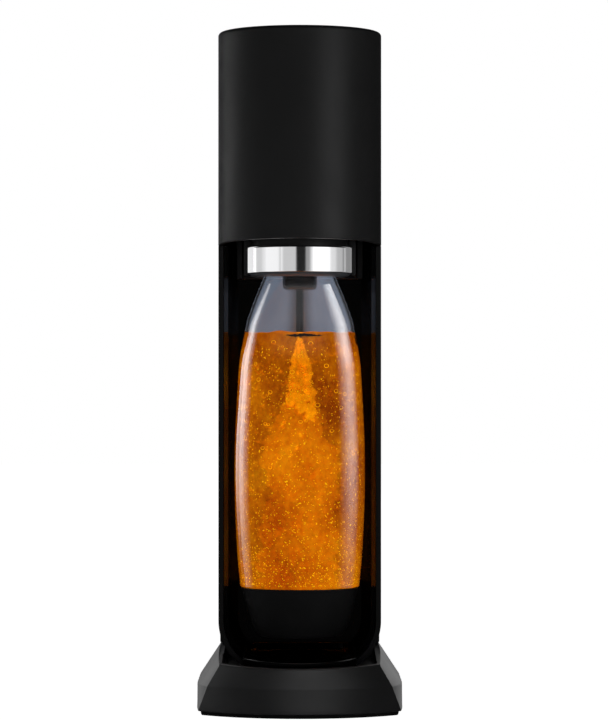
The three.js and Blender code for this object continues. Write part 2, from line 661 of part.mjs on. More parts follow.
function makeCollarCarrier() {
  const w = CARRIER_HALF_WIDTH;
  const plan = new THREE.Shape();
  plan.moveTo(-w, -2);
  plan.lineTo(w, -2);
  plan.lineTo(w, 31);
  plan.absarc(w - 5, 31, 5, 0, 0.5 * Math.PI, false);
  plan.absarc(-w + 5, 31, 5, 0.5 * Math.PI, Math.PI, false);
  plan.closePath();
  const block = solid(prism(plan, 275.8, 297.6, 6));
  const ears = [-1, 1].map((side) => {
    const [from, to] = [side * (w - 5), side * w].sort((a, b) => a - b);
    const ear = solid(box([from, PIVOT_Y - 6, 290], [to, PIVOT_Y + 6, PIVOT_Z]));
    return join(ear, solid(bar('x', 6, from, to, [PIVOT_Y, PIVOT_Z], 14)));
  });
  const ringBore = solid(bar('z', RING_RADIUS + GAP, 200, RING_TOP + GAP, [0, 0], 36));
  const coreBore = solid(bar('z', 31.2, 200, 400, [0, 0], 36));
  const lowerCorners = [-1, 1].map((side) => {
    const corner = new THREE.Shape([
      new THREE.Vector2(w - 2.6, 270), new THREE.Vector2(w + 1, 270), new THREE.Vector2(w + 1, 279.5),
    ]);
    const wedge = new THREE.ExtrudeGeometry(corner, { depth: 60, bevelEnabled: false });
    wedge.rotateX(Math.PI / 2);
    wedge.translate(0, 50, 0);
    return solid(side > 0 ? wedge : wedge.rotateZ(Math.PI).translate(0, 40, 0));
  });
  const pinHole = solid(bar('x', 3.3, -60, 60, [PIVOT_Y, PIVOT_Z], 14));
  return cut(join(block, ...ears), ringBore, coreBore, pinHole, ...lowerCorners);
}

function makeCollarRing() {
  const r = RING_RADIUS;
  return turned([
    [r - 1.9, RING_BOTTOM], [r - 0.5, RING_BOTTOM], [r, RING_BOTTOM + 0.6], [r, RING_TOP - 2],
    [r - 0.4, RING_TOP - 0.8], [r - 1.2, RING_TOP], [r - 1.9, RING_TOP], [r - 1.9, RING_BOTTOM],
  ], 0, 36);
}

// Tapering grey lip that leads the bottle's neck into the collar.
function makeCollarLip() {
  return turned([
    [24.4, 275.2], [30.5, 274.6], [32.2, 275.4], [32.8, 276.9], [27, 276.9], [24.4, 276.6], [24.4, 275.2],
  ], 0, 32);
}

// Sleeve inside the ring, with the disc that carries the nozzle head.
function makeCollarCore() {
  return turned([
    [23.4, 277.3], [30.9, 277.3], [30.9, 301], [8.6, 301], [8.6, 297], [23.4, 297], [23.4, 277.3],
  ], 0, 32);
}

function makeNozzleHead() {
  return turned([
    [0, 266.5], [8.5, 266.5], [11, 270], [11, 290], [8.3, 292], [8.3, 304], [3, 305], [0, 305],
  ], 0, 20);
}

function makeCarbonationTube() {
  return turned(ringProfile(1.2, 2.4, 236, 266.2), 0, 16);
}

function makeBottleSeal() {
  return turned(ringProfile(12.5, 22.6, 293.6, 296.6), 0, 24);
}

function makePivotPin(side) {
  const [from, to] = [side * (CARRIER_HALF_WIDTH - 4.6), side * (HOUSING_HALF_WIDTH - 0.2)].sort((a, b) => a - b);
  return bar('x', 3, from, to, [PIVOT_Y, PIVOT_Z], 14);
}

// ---------------------------------------------------------------- bottle
// Radius and height of the bottle's outside, from the cup's edge up to the neck.
const BOTTLE_SIDE = [
  [37.9, 78.6], [39.8, 100.6], [41.3, 134], [41.3, 168], [39.4, 207],
  [38.2, 222.6], [35.3, 238], [33.3, 247.5], [28.9, 260], [22.8, 274.8],
];
const BOTTLE_FOOT = [[24, 51.6], [28.5, 56], [31.6, 64], [34.2, 72], [35.6, 77.6]];
const BOTTLE_WALL = 1.7;
const BOTTLE_SEGMENTS = 24;

function makeBottleVessel() {
  const neckTop = 293;
  const outside = [
    [0, 51.6], ...BOTTLE_FOOT, ...BOTTLE_SIDE,
    [20.6, 278], [20.6, 281.5], [22.4, 282.3], [22.4, 284.6], [20.6, 285.4], [20.6, neckTop - 0.6], [20, neckTop],
  ];
  const insideWall = [...BOTTLE_FOOT.slice(1), ...BOTTLE_SIDE]
    .map(([r, z]) => [r - BOTTLE_WALL, z]).reverse();
  const inside = [
    [18.6, neckTop], [18.4, 278.4], ...insideWall, [22, 53.4], [0, 53.4],
  ];
  return turned([...outside, ...inside], 0, BOTTLE_SEGMENTS);
}

function makeBottleBaseCup() {
  const gap = 0.4;
  const inside = BOTTLE_FOOT.slice().reverse().map(([r, z]) => [r + gap, z - 0.2]);
  return turned([
    [0, CUP_BOTTOM + 1.2], [18, CUP_BOTTOM + 1.2], [21, CUP_BOTTOM], [24.6, CUP_BOTTOM], [27.3, CUP_BOTTOM + 1.8],
    [29.1, CUP_BOTTOM + 4.4], [31.5, CUP_BOTTOM + 9.4], [33.8, CUP_BOTTOM + 17], [35.3, CUP_BOTTOM + 22.2],
    [37, CUP_BOTTOM + 30.4], [37.5, CUP_TOP - 0.8], [37.2, CUP_TOP], ...inside, [0, 51.2],
  ], 0, BOTTLE_SEGMENTS);
}

// ---------------------------------------------------------------- assembly
add('base_plinth', makeBasePlinth(), DARK_GREY);
add('base_plate', makeBasePlate(), MATTE_BLACK);
add('foot_strip_front', makeFootStrip(true), RUBBER);
add('foot_strip_rear', makeFootStrip(false), RUBBER);
SCREW_PLACES.forEach((place, i) => add(`base_screw_${i + 1}`, makeBaseScrew(place), STEEL));
add('drip_tray', makeDripTray(), GLOSS_BLACK);

add('column_frame', makeColumnFrame(), MATTE_BLACK);
add('bay_liner', makeBayLiner(), GLOSS_BLACK);
add('rear_cover', makeRearCover(), MATTE_BLACK);
add('head_shell', makeHeadShell(), MATTE_BLACK);

add('button_cap', makeButtonCap(), DARK_GREY);
add('spring_seat', makeSpringSeat(), GREY_PLASTIC);
add('button_spring', makeButtonSpring(), STEEL);
add('valve_lever', makeValveLever(), STEEL);
add('valve_lever_pin', makeValveLeverPin(), STEEL);
add('valve_pin', makeValvePin(), BRASS);
add('valve_bracket', makeValveBracket(), STEEL);
BRACKET_SCREW_PLACES.forEach((place, i) => {
  add(`bracket_screw_${i + 1}`, makeCrossScrew(place, BACK_WALL_REAR + 5, -1), STEEL);
});
add('connector_block', makeConnectorBlock(), BRASS);
add('inlet_seal', makeInletSeal(), RUBBER);
add('relief_valve', makeReliefValve(), BRASS);
add('gas_hose', makeGasHose(), GREY_PLASTIC);
add('quick_lever', makeQuickLever(), LEVER_TEAL);
add('quick_lever_pin_left', makeQuickLeverPin(-1), STEEL);
add('quick_lever_pin_right', makeQuickLeverPin(1), STEEL);
add('gas_cylinder', makeGasCylinder(), CYLINDER_BLUE);
add('cylinder_valve', makeCylinderValve(), BRASS);

add('lock_housing', makeLockHousing(), DARK_GREY);
HOUSING_SCREW_PLACES.forEach((place, i) => {
  add(`lock_housing_screw_${i + 1}`, makeCrossScrew(place, 36.3, 1), STEEL);
});
add('collar_carrier', makeCollarCarrier(), MATTE_BLACK);
add('collar_ring', makeCollarRing(), CHROME);
add('collar_lip', makeCollarLip(), GREY_PLASTIC);
add('collar_core', makeCollarCore(), MATTE_BLACK);
add('pivot_pin_left', makePivotPin(-1), STEEL);
add('pivot_pin_right', makePivotPin(1), STEEL);
add('nozzle_head', makeNozzleHead(), GREY_PLASTIC);
add('carbonation_tube', makeCarbonationTube(), MATTE_BLACK);
add('bottle_seal', makeBottleSeal(), RUBBER);

add('bottle_vessel', makeBottleVessel(), CLEAR);
add('bottle_base_cup', makeBottleBaseCup(), CUP_BLACK);

export default model;
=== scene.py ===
import json
import math
import random

import bmesh
import bpy
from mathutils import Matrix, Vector
from mathutils.noise import noise

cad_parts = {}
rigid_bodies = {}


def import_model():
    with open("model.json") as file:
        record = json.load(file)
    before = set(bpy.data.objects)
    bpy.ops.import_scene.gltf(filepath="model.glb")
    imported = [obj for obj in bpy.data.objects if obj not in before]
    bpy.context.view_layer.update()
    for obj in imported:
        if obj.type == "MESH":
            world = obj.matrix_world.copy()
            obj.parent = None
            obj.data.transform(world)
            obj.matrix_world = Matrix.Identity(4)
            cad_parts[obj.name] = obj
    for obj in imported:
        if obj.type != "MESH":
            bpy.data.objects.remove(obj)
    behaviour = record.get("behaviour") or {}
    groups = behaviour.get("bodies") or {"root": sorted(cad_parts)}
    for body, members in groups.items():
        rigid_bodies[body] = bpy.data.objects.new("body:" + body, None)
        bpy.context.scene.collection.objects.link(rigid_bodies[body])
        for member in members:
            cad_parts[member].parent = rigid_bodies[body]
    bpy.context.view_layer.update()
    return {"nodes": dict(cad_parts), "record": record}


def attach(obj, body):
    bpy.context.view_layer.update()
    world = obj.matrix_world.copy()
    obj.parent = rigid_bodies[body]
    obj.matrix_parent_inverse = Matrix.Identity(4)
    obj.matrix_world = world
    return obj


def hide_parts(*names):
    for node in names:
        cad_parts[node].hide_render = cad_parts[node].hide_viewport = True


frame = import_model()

random.seed(11)

# Shapes are drawn in millimetres about the bottle's axis, and placed in the frame
# in metres. The axis stands this far from the middle of the base.
MM = 0.001
AXIS_Y = -25.5
CLEAR = 700.0  # beyond everything, for cutters
GAP = 0.3  # clearance between touching pieces

# base
BASE_HALF_WIDTH = 65.0
BASE_FRONT = 67.0
BASE_REAR = 118.0
BASE_BOTTOM = 2.4
FRONT_RADIUS = 86.0
REAR_RADIUS = 70.0
REAR_CORNER = 34.0
SIDE_POINTS = (-10.0, 0.0, 20.0)  # along the straight sides
RIM_HALF_WIDTH = 51.6
RIM_FRONT = 59.0
RIM_REAR = 113.0
RIM_CORNER = 6.0
RIM_WIDTH = 3.4
RECESS_DEPTH = 8.0
DECK_HEIGHT = 38.7
DECK_AT_AXIS = 37.7
DECK_SLOPE = math.tan(math.radians(7.4))
BASE_WALL = 3.0
FLANK_TOP = 17.5  # the sides stand upright up to here
FLANK_PULL = 0.62  # how full the flank's curve is
FOOT_EDGE_X = 63.6  # where the front face meets the flank, at the foot
RIM_EDGE_X = 50.3  # and at the rim
STRIP_OUTSIDE = (62.7, 64.9, 115.7, 61.3)  # foot strips: half width, front, rear, edge
STRIP_INSIDE = (54.0, 56.0, 106.0, 52.0)
STRIP_ENDS = {"front": (-90.0, -14.0), "rear": (78.0, 140.0)}
TRAY_RADIUS = 45.0
TRAY_HALF_WIDTH = 35.8

# column
COLUMN_HALF_WIDTH = 51.7
COLUMN_FRONT = -2.0
COLUMN_BACK = 50.0
COLUMN_TOP = 294.4
COLUMN_BOTTOM = 22.2
COLUMN_CORNER = 34.0
COLUMN_WALL = 3.2
BACK_WALL_FRONT = 45.7
BACK_WALL_REAR = 48.2
BAY_DEPTH = 44.0
TOWER_HALF_WIDTH = 38.0
TOWER_TOP = 400.0
LEVER_SLOT = ((2.0, 372.0), (18.0, 392.0))
LEG_RADIUS = 5.0
LEG_BORE = 2.4
PLATE_BORE = 2.3
SCREW_PLACES = [(-30.0, 8.0), (30.0, 8.0), (-30.0, 36.0), (30.0, 36.0)]
PLATE_SCREW_PLACES = [(-26.0, 316.0), (26.0, 316.0), (-24.0, 388.0), (24.0, 388.0)]

# head, cover and button
HEAD_RADIUS = 51.8
HEAD_WALL = 3.0
HEAD_TOP = 430.0
HEAD_BOTTOM = 294.7
HEAD_FRONT_RISE = 0.054
HEAD_EDGE = 2.5
REAR_CENTRE = 61.2
COVER_TOP = 353.7
COVER_WALL = 2.4
BUTTON_RADIUS = 29.0
BUTTON_Y = 2.0

# gas cylinder
CYLINDER_Y = 79.4
CYLINDER_RADIUS = 30.0

# collar
PIVOT_Y = 28.0
PIVOT_Z = 303.0
RING_RADIUS = 33.2
RING_BOTTOM = 277.2
RING_TOP = 293.6
CARRIER_HALF_WIDTH = 35.5
CARRIER_BOTTOM = 275.8
CARRIER_TOP = 297.6
CARRIER_CORNER = 5.0
HOUSING_HALF_WIDTH = 40.4
HOUSING_BOTTOM = 274.5
HOUSING_TOP = 324.0
HOUSING_WALL = 3.6

# bottle: radius and height of its outside
BOTTLE_FOOT = [(24, 51.6), (28.5, 56), (31.6, 64), (34.2, 72), (35.6, 77.6)]
BOTTLE_SIDE = [
    (37.9, 78.6), (39.8, 100.6), (41.3, 134), (41.3, 168), (39.4, 207),
    (38.2, 222.6), (35.3, 238), (33.3, 247.5), (28.9, 260), (22.8, 274.8),
]
BOTTLE_WALL = 1.7
DRINK_LEVEL = 239.5
CUP_BOTTOM = 46.0
CUP_TOP = 78.0
NECK_PAINTED_GLOW = 0.105  # strength of the painted glow that stands in for light in the misted neck

# camera, in metres: how far in front of the bottle's axis, and how high
CAMERA_AWAY = 2.150
CAMERA_HEIGHT = 0.203


# ------------------------------------------------------------------ mesh helpers
def solid(name, vertices, faces):
    mesh = bpy.data.meshes.new(name)
    placed = [(x * MM, (y + AXIS_Y) * MM, z * MM) for x, y, z in vertices]
    mesh.from_pydata(placed, [], faces)
    shape = bmesh.new()
    shape.from_mesh(mesh)
    bmesh.ops.recalc_face_normals(shape, faces=shape.faces)
    shape.to_mesh(mesh)
    shape.free()
    piece = bpy.data.objects.new(name, mesh)
    bpy.context.scene.collection.objects.link(piece)
    return piece


def loft(name, rings):
    """Closed skin through rings with equal numbers of points, capped at both ends."""
    count = len(rings[0])
    vertices = [point for ring in rings for point in ring]
    faces = []
    for row in range(len(rings) - 1):
        for i in range(count):
            j = (i + 1) % count
            a, b = row * count + i, row * count + j
            faces.append((a, b, b + count, a + count))
    last = (len(rings) - 1) * count
    faces.append(tuple(reversed(range(count))))
    faces.append(tuple(range(last, last + count)))
    return solid(name, vertices, faces)


def turned(name, profile, centre_y=0.0, segments=96):
    """Turned piece: pairs of radius and height about an upright axis."""
    vertices, rows = [], []
    for radius, height in profile:
        if radius < 1e-6:
            rows.append([len(vertices)] * segments)
            vertices.append((0.0, centre_y, height))
            continue
        rows.append([len(vertices) + i for i in range(segments)])
        for i in range(segments):
            angle = 2 * math.pi * i / segments
            x, y = radius * math.cos(angle), radius * math.sin(angle)
            vertices.append((x, centre_y + y, height))
    faces = []
    closed = profile[0][0] > 0 and profile[-1][0] > 0
    pairs = list(zip(rows, rows[1:]))
    if closed:
        pairs.append((rows[-1], rows[0]))
    for low, high in pairs:
        for i in range(segments):
            j = (i + 1) % segments
            face = []
            for index in (low[i], low[j], high[j], high[i]):
                if index not in face:
                    face.append(index)
            if len(face) > 2:
                faces.append(tuple(face))
    return solid(name, vertices, faces)


def block(low, high):
    (x0, y0, z0), (x1, y1, z1) = low, high
    rings = [[(x0, y0, z), (x1, y0, z), (x1, y1, z), (x0, y1, z)] for z in (z0, z1)]
    return loft("cutter", rings)


def bar(axis, radius, start, end, across, segments=32):
    rings = []
    for along in (start, end):
        ring = []
        for i in range(segments):
            angle = 2 * math.pi * i / segments
            u = across[0] + radius * math.cos(angle)
            v = across[1] + radius * math.sin(angle)
            ring.append({"x": (along, u, v), "y": (u, along, v), "z": (u, v, along)}[axis])
        rings.append(ring)
    return loft("cutter", rings)


def prism_across(outline, left, right):
    """Outline in the YZ plane, run along X."""
    return loft("cutter", [[(x, y, z) for y, z in outline] for x in (left, right)])


def combine(piece, operation, *others):
    for other in others:
        step = piece.modifiers.new("combine", "BOOLEAN")
        step.operation = operation
        step.solver = "EXACT"
        step.object = other
    evaluated = piece.evaluated_get(bpy.context.evaluated_depsgraph_get())
    mesh = bpy.data.meshes.new_from_object(evaluated)
    piece.modifiers.clear()
    piece.data = mesh
    for other in others:
        bpy.data.objects.remove(other)
    return piece


def cut(piece, *others):
    return combine(piece, "DIFFERENCE", *others)


def join(piece, *others):
    return combine(piece, "UNION", *others)


def meet(piece, *others):
    return combine(piece, "INTERSECT", *others)


def smooth_curve(points, steps):
    """Catmull-Rom curve through pairs of radius and height."""
    ends = [points[0]] + list(points) + [points[-1]]
    curve = []
    for a, b, c, d in zip(ends, ends[1:], ends[2:], ends[3:]):
        for i in range(steps):
            t = i / steps
            curve.append(tuple(
                0.5 * (2 * b[k] + (c[k] - a[k]) * t
                       + (2 * a[k] - 5 * b[k] + 4 * c[k] - d[k]) * t ** 2
                       + (3 * b[k] - a[k] - 3 * c[k] + d[k]) * t ** 3)
                for k in (0, 1)))
    return curve + [points[-1]]


def mirrored(outline):
    """The same pairs on the left, in the opposite order."""
    return [(-x, y) for x, y in reversed(outline)]


def at_height(outline, height):
    """Pairs made into points, at one height or at a height worked out from Y."""
    return [(x, y, height(y) if callable(height) else height) for x, y in outline]


def grid_faces(columns, rows):
    row = columns + 1
    return [(j * row + i, j * row + i + 1, (j + 1) * row + i + 1, (j + 1) * row + i)
            for j in range(rows) for i in range(columns)]


def arc(centre, radius, start, end, steps):
    """Pairs of numbers along an arc, from one angle to another, in degrees."""
    angles = [math.radians(start + (end - start) * i / steps) for i in range(steps + 1)]
    return [(centre[0] + radius * math.cos(a), centre[1] + radius * math.sin(a)) for a in angles]


def done(piece, name, body, nodes, material, edge=0.0, sharp=32):
    """Names a finished piece, shades it, rounds its edges and ties it to the frame."""
    piece.name = name
    piece.data.name = name
    piece.data.materials.clear()
    piece.data.materials.append(material)
    piece.data.polygons.foreach_set("use_smooth", [True] * len(piece.data.polygons))
    piece.data.polygons.foreach_set("material_index", [0] * len(piece.data.polygons))
    piece.data.set_sharp_from_angle(angle=math.radians(sharp))
    if edge:
        rounding = piece.modifiers.new("rounding", "BEVEL")
        rounding.width = edge * MM
        rounding.segments = 2
        rounding.limit_method = "ANGLE"
        rounding.angle_limit = math.radians(sharp)
        rounding.harden_normals = True
    else:
        evened = piece.modifiers.new("evened", "WEIGHTED_NORMAL")
        evened.keep_sharp = True
    if nodes:
        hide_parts(*nodes)
    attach(piece, body)
    return piece


# ------------------------------------------------------------------ materials
def shader(name):
    material = bpy.data.materials.new(name)
    material.use_nodes = True
    nodes = material.node_tree.nodes
    links = material.node_tree.links
    principled = nodes["Principled BSDF"]
    place = nodes.new("ShaderNodeTexCoord")
    return material, nodes, links, principled, place.outputs["Object"]


def noise_at(nodes, links, place, per_metre, detail=3.0, stretch=(1, 1, 1)):
    scaled = nodes.new("ShaderNodeMapping")
    scaled.inputs["Scale"].default_value = stretch
    links.new(place, scaled.inputs["Vector"])
    texture = nodes.new("ShaderNodeTexNoise")
    texture.inputs["Scale"].default_value = per_metre
    texture.inputs["Detail"].default_value = detail
    links.new(scaled.outputs["Vector"], texture.inputs["Vector"])
    return texture.outputs["Fac"]


def ramp(nodes, links, factor, low, high, start=0.3, end=0.7):
    blend = nodes.new("ShaderNodeValToRGB")
    blend.color_ramp.elements[0].position = start
    blend.color_ramp.elements[1].position = end
    blend.color_ramp.elements[0].color = (*low, 1)
    blend.color_ramp.elements[1].color = (*high, 1)
    links.new(factor, blend.inputs["Fac"])
    return blend.outputs["Color"]


def spread(nodes, links, factor, low, high, start=0.3, end=0.7):
    """A number that goes from low to high as the factor goes from start to end."""
    span = nodes.new("ShaderNodeMapRange")
    span.inputs["From Min"].default_value = start
    span.inputs["From Max"].default_value = end
    span.inputs["To Min"].default_value = low
    span.inputs["To Max"].default_value = high
    links.new(factor, span.inputs["Value"])
    return span.outputs["Result"]


def product(nodes, links, first, second):
    times = nodes.new("ShaderNodeMath")
    times.operation = "MULTIPLY"
    links.new(first, times.inputs[0])
    links.new(second, times.inputs[1])
    return times.outputs["Value"]


def bump(nodes, links, height, principled, depth, strength=1.0):
    relief = nodes.new("ShaderNodeBump")
    relief.inputs["Strength"].default_value = strength
    relief.inputs["Distance"].default_value = depth
    links.new(height, relief.inputs["Height"])
    links.new(relief.outputs["Normal"], principled.inputs["Normal"])


def finish(name, colour, roughness, metallic=0.0, grain=2500, depth=0.00002, vary=0.12,
           spread_of_roughness=0.04, stretch=(1, 1, 1), specular=0.5, ior=1.46):
    """Moulded plastic or metal: a fine grain, and slow changes of colour and gloss."""
    material, nodes, links, principled, place = shader(name)
    slow = noise_at(nodes, links, place, 35, 4, stretch)
    fine = noise_at(nodes, links, place, grain, 2, stretch)
    low = tuple(c * (1 - vary) for c in colour)
    high = tuple(min(1.0, c * (1 + vary)) for c in colour)
    links.new(ramp(nodes, links, slow, low, high), principled.inputs["Base Color"])
    rough = spread(nodes, links, slow, roughness - spread_of_roughness, roughness + spread_of_roughness)
    links.new(rough, principled.inputs["Roughness"])
    bump(nodes, links, fine, principled, depth)
    principled.inputs["Metallic"].default_value = metallic
    principled.inputs["Specular IOR Level"].default_value = specular
    principled.inputs["IOR"].default_value = ior
    return material


def clear_plastic(name, colour, roughness):
    """Clear bottle wall. Above the drink its rear half has a painted glow, an emission standing in for
    light in fine mist, least in the middle.
    """
    material, nodes, links, principled, place = shader(name)
    slow = noise_at(nodes, links, place, 30, 3, (1, 1, 0.35))
    parts = nodes.new("ShaderNodeSeparateXYZ")
    links.new(place, parts.inputs["Vector"])
    off_middle = nodes.new("ShaderNodeMath")
    off_middle.operation = "ABSOLUTE"
    links.new(parts.outputs["X"], off_middle.inputs[0])
    surface = (DRINK_LEVEL * MM - 0.0005, DRINK_LEVEL * MM + 0.0008)
    middle = (AXIS_Y * MM - 0.003, AXIS_Y * MM + 0.003)
    clear = spread(nodes, links, parts.outputs["Z"], 1.0, 0.97, *surface)
    links.new(clear, principled.inputs["Transmission Weight"])
    above = spread(nodes, links, parts.outputs["Z"], 0.0, NECK_PAINTED_GLOW, *surface)
    behind = spread(nodes, links, parts.outputs["Y"], 0.0, 1.0, *middle)
    aside = spread(nodes, links, off_middle.outputs["Value"], 0.2, 1.0, 0.002, 0.009)
    patchy = spread(nodes, links, slow, 0.8, 1.15)
    painted_glow_mask = product(nodes, links, above, behind)
    gaps = product(nodes, links, aside, patchy)
    # Painted glow: emission on the rear half above the drink stands in for light in the mist.
    links.new(product(nodes, links, painted_glow_mask, gaps), principled.inputs["Emission Strength"])
    principled.inputs["Emission Color"].default_value = (0.74, 0.82, 1.0, 1)
    low = tuple(c * 0.9 for c in colour)
    links.new(ramp(nodes, links, slow, low, colour), principled.inputs["Base Color"])
    rough = spread(nodes, links, slow, roughness * 0.6, roughness * 1.4)
    links.new(rough, principled.inputs["Roughness"])
    bump(nodes, links, slow, principled, 0.0003, 0.3)
    principled.inputs["IOR"].default_value = 1.45
    return material


def drink_material():
    """Orange drink, clouded by gas: patches of dark amber and bright orange, with a painted glow in the
    same colour for the light scattered inside.
    """
    material, nodes, links, principled, place = shader("orange_drink")
    cloudy = noise_at(nodes, links, place, 42, 5, (1, 1, 0.6))
    fine = noise_at(nodes, links, place, 330, 3, (1, 1, 0.8))
    mixed = nodes.new("ShaderNodeMath")
    mixed.operation = "MULTIPLY_ADD"
    mixed.inputs[1].default_value = 0.45
    links.new(fine, mixed.inputs[0])
    links.new(cloudy, mixed.inputs[2])
    colour = nodes.new("ShaderNodeValToRGB")
    stops = colour.color_ramp
    stops.elements[0].position = 0.52
    stops.elements[0].color = (0.36, 0.068, 0.0005, 1)
    stops.elements[1].position = 0.98
    stops.elements[1].color = (0.86, 0.33, 0.003, 1)
    middle = stops.elements.new(0.74)
    middle.color = (0.62, 0.175, 0.001, 1)
    links.new(mixed.outputs["Value"], colour.inputs["Fac"])
    links.new(colour.outputs["Color"], principled.inputs["Base Color"])
    # Painted glow: the drink emits its own colour, standing in for light scattered inside it.
    links.new(colour.outputs["Color"], principled.inputs["Emission Color"])
    principled.inputs["Emission Strength"].default_value = 0.42
    principled.inputs["Roughness"].default_value = 0.12
    principled.inputs["Transmission Weight"].default_value = 0.6
    principled.inputs["Specular IOR Level"].default_value = 0.1
    principled.inputs["IOR"].default_value = 1.2
    return material


def painted_glow_material(name, colour, strength, transmission=0.0):
    """Bubbles and foam with a painted glow: an emission stands in for the light scattered in the drink."""
    material, nodes, links, principled, place = shader(name)
    fine = noise_at(nodes, links, place, 300, 3)
    low = tuple(c * 0.7 for c in colour)
    tint = ramp(nodes, links, fine, low, colour)
    links.new(tint, principled.inputs["Base Color"])
    links.new(tint, principled.inputs["Emission Color"])
    principled.inputs["Emission Strength"].default_value = strength
    principled.inputs["Roughness"].default_value = 0.2
    principled.inputs["Transmission Weight"].default_value = transmission
    principled.inputs["IOR"].default_value = 1.3
    return material


MATTE_BLACK = finish("matte_black", (0.008, 0.008, 0.0083), 0.46, grain=3200, depth=0.000012,
                     specular=0.42)
GLOSS_BLACK = finish("gloss_black", (0.003, 0.003, 0.0032), 0.10, grain=700, depth=0.000001,
                     spread_of_roughness=0.03)
COLUMN_BLACK = finish("column_black", (0.0022, 0.0022, 0.0023), 0.3, grain=3000, depth=0.000006,
                      specular=0.3)
DARK_GREY = finish("dark_grey", (0.008, 0.008, 0.0083), 0.42, grain=3000, depth=0.000012, specular=0.4)
BASE_PLASTIC = finish("base_plastic", (0.0085, 0.0085, 0.009), 0.44, grain=3000, depth=0.000012,
                      specular=0.5)
CUP_PLASTIC = finish("cup_plastic", (0.0055, 0.0055, 0.0058), 0.40, grain=2800, depth=0.00001,
                     specular=0.2)
GREY_PLASTIC = finish("grey_plastic", (0.22, 0.22, 0.23), 0.42, grain=2200)
LIP_GREY = finish("lip_grey", (0.035, 0.037, 0.042), 0.3, grain=2200)
NOZZLE_GREY = finish("nozzle_grey", (0.02, 0.022, 0.027), 0.22, grain=2200)
CHROME = finish("chrome", (0.80, 0.80, 0.81), 0.09, metallic=1.0, grain=400, depth=0.000001,
                vary=0.02, spread_of_roughness=0.02)
STEEL = finish("steel", (0.42, 0.42, 0.43), 0.34, metallic=1.0, grain=1500, depth=0.00001,
               stretch=(1, 1, 6))
BRASS = finish("brass", (0.55, 0.38, 0.15), 0.32, metallic=1.0, grain=1500, depth=0.00001,
               stretch=(1, 1, 6))
RUBBER = finish("rubber", (0.002, 0.002, 0.002), 0.75, grain=1800, depth=0.00004, specular=0.15)
CLEAR_PLASTIC = clear_plastic("clear_plastic", (0.86, 0.93, 1.0), 0.03)
CYLINDER_PAINT = finish("cylinder_paint", (0.03, 0.12, 0.24), 0.22, grain=500, depth=0.00002, vary=0.06)
LEVER_TEAL = finish("lever_teal", (0.05, 0.24, 0.22), 0.4, grain=2200)
DRINK = drink_material()
# Painted glow on the jet, the gas cloud, the bubbles and the specks.
JET = painted_glow_material("jet_foam", (1.0, 0.62, 0.02), 1.4)
CLOUD = painted_glow_material("gas_cloud", (1.0, 0.42, 0.01), 0.55)
# Painted shade: a near-black sheet for the dark hollow seen through the front wall.
HOLLOW_SHADE = finish("stirred_hollow", (0.012, 0.004, 0.001), 0.3, grain=900, depth=0.0001)
BUBBLE = painted_glow_material("bubble_skin", (1.0, 0.5, 0.004), 0.85, 0.2)
SPECK = painted_glow_material("gas_specks", (1.0, 0.54, 0.004), 1.0)

BY_SLOT = {
    "matte_black": MATTE_BLACK, "gloss_black": GLOSS_BLACK, "dark_grey": DARK_GREY,
    "grey_plastic": GREY_PLASTIC, "chrome": CHROME, "steel": STEEL, "brass": BRASS, "rubber": RUBBER,
    "clear": CLEAR_PLASTIC, "cylinder_paint": CYLINDER_PAINT, "lever_teal": LEVER_TEAL,
}


def paint_cad_nodes():
    """Every node carried over from the CAD model gets the finish its record names."""
    for entry in frame["record"]["subparts"]:
        node = frame["nodes"][entry["node"]]
        node.data.materials.clear()
        node.data.materials.append(BY_SLOT[entry["material_slot"]])
        node.data.polygons.foreach_set("use_smooth", [True] * len(node.data.polygons))
        node.data.set_sharp_from_angle(angle=math.radians(32))


# ------------------------------------------------------------------ base
def deck(y):
    return min(DECK_HEIGHT, DECK_AT_AXIS + y * DECK_SLOPE)


def rear_outline(half_width, rear):
    """Right rear corner, the arc behind and the left rear corner."""
    centre = rear - REAR_RADIUS
    back = half_width - REAR_CORNER
    reach = math.sqrt((REAR_RADIUS - REAR_CORNER) ** 2 - back ** 2)
    turn = math.degrees(math.atan2(reach, back))
    corner = arc((back, centre + reach), REAR_CORNER, 0, turn, 16)
    behind = arc((0, centre), REAR_RADIUS, turn, 180 - turn, 24)[1:-1]
    return corner + behind + mirrored(corner)


def rim_ring(inset, height):
    """The rim's outline drawn in by the inset: wide arc in front, fillets and straight sides."""
    half_width = RIM_HALF_WIDTH - inset
    centre = FRONT_RADIUS - (RIM_FRONT - inset)
    right = half_width - RIM_CORNER
    reach = math.sqrt((FRONT_RADIUS - RIM_CORNER) ** 2 - right ** 2)
    turn = math.degrees(math.atan2(reach, right))
    front = arc((0, centre), FRONT_RADIUS, turn - 180, -turn, 40)
    side = arc((right, centre - reach), RIM_CORNER, -turn, 0, 12)[1:]
    side += [(half_width, y) for y in SIDE_POINTS]
    rear = rear_outline(half_width, RIM_REAR - inset)
    return at_height(front + side + rear + mirrored(side), height)


def column_ring(inset, y, top=CLEAR, steps=24):
    radius = COLUMN_CORNER - inset
    x, z = COLUMN_HALF_WIDTH - COLUMN_CORNER, COLUMN_BOTTOM + COLUMN_CORNER
    outline = [(-x - radius, top)] + arc((-x, z), radius, 180, 270, steps)
    outline += arc((x, z), radius, 270, 360, steps) + [(x + radius, top)]
    return [(u, y, v) for u, v in outline]


def column_block(inset, front, back, top):
    return loft("cutter", [column_ring(inset, front, top), column_ring(inset, back, top)])


def bay_hollow(margin):
    inner = COLUMN_WALL + 0.1 + margin
    return loft("cutter", [
        column_ring(inner, COLUMN_FRONT - 3), column_ring(inner, COLUMN_FRONT + 0.1),
        column_ring(6.1 + margin, 1.4), column_ring(7.9 + margin, 38),
        column_ring(11.8 + margin, BAY_DEPTH - margin),
    ])


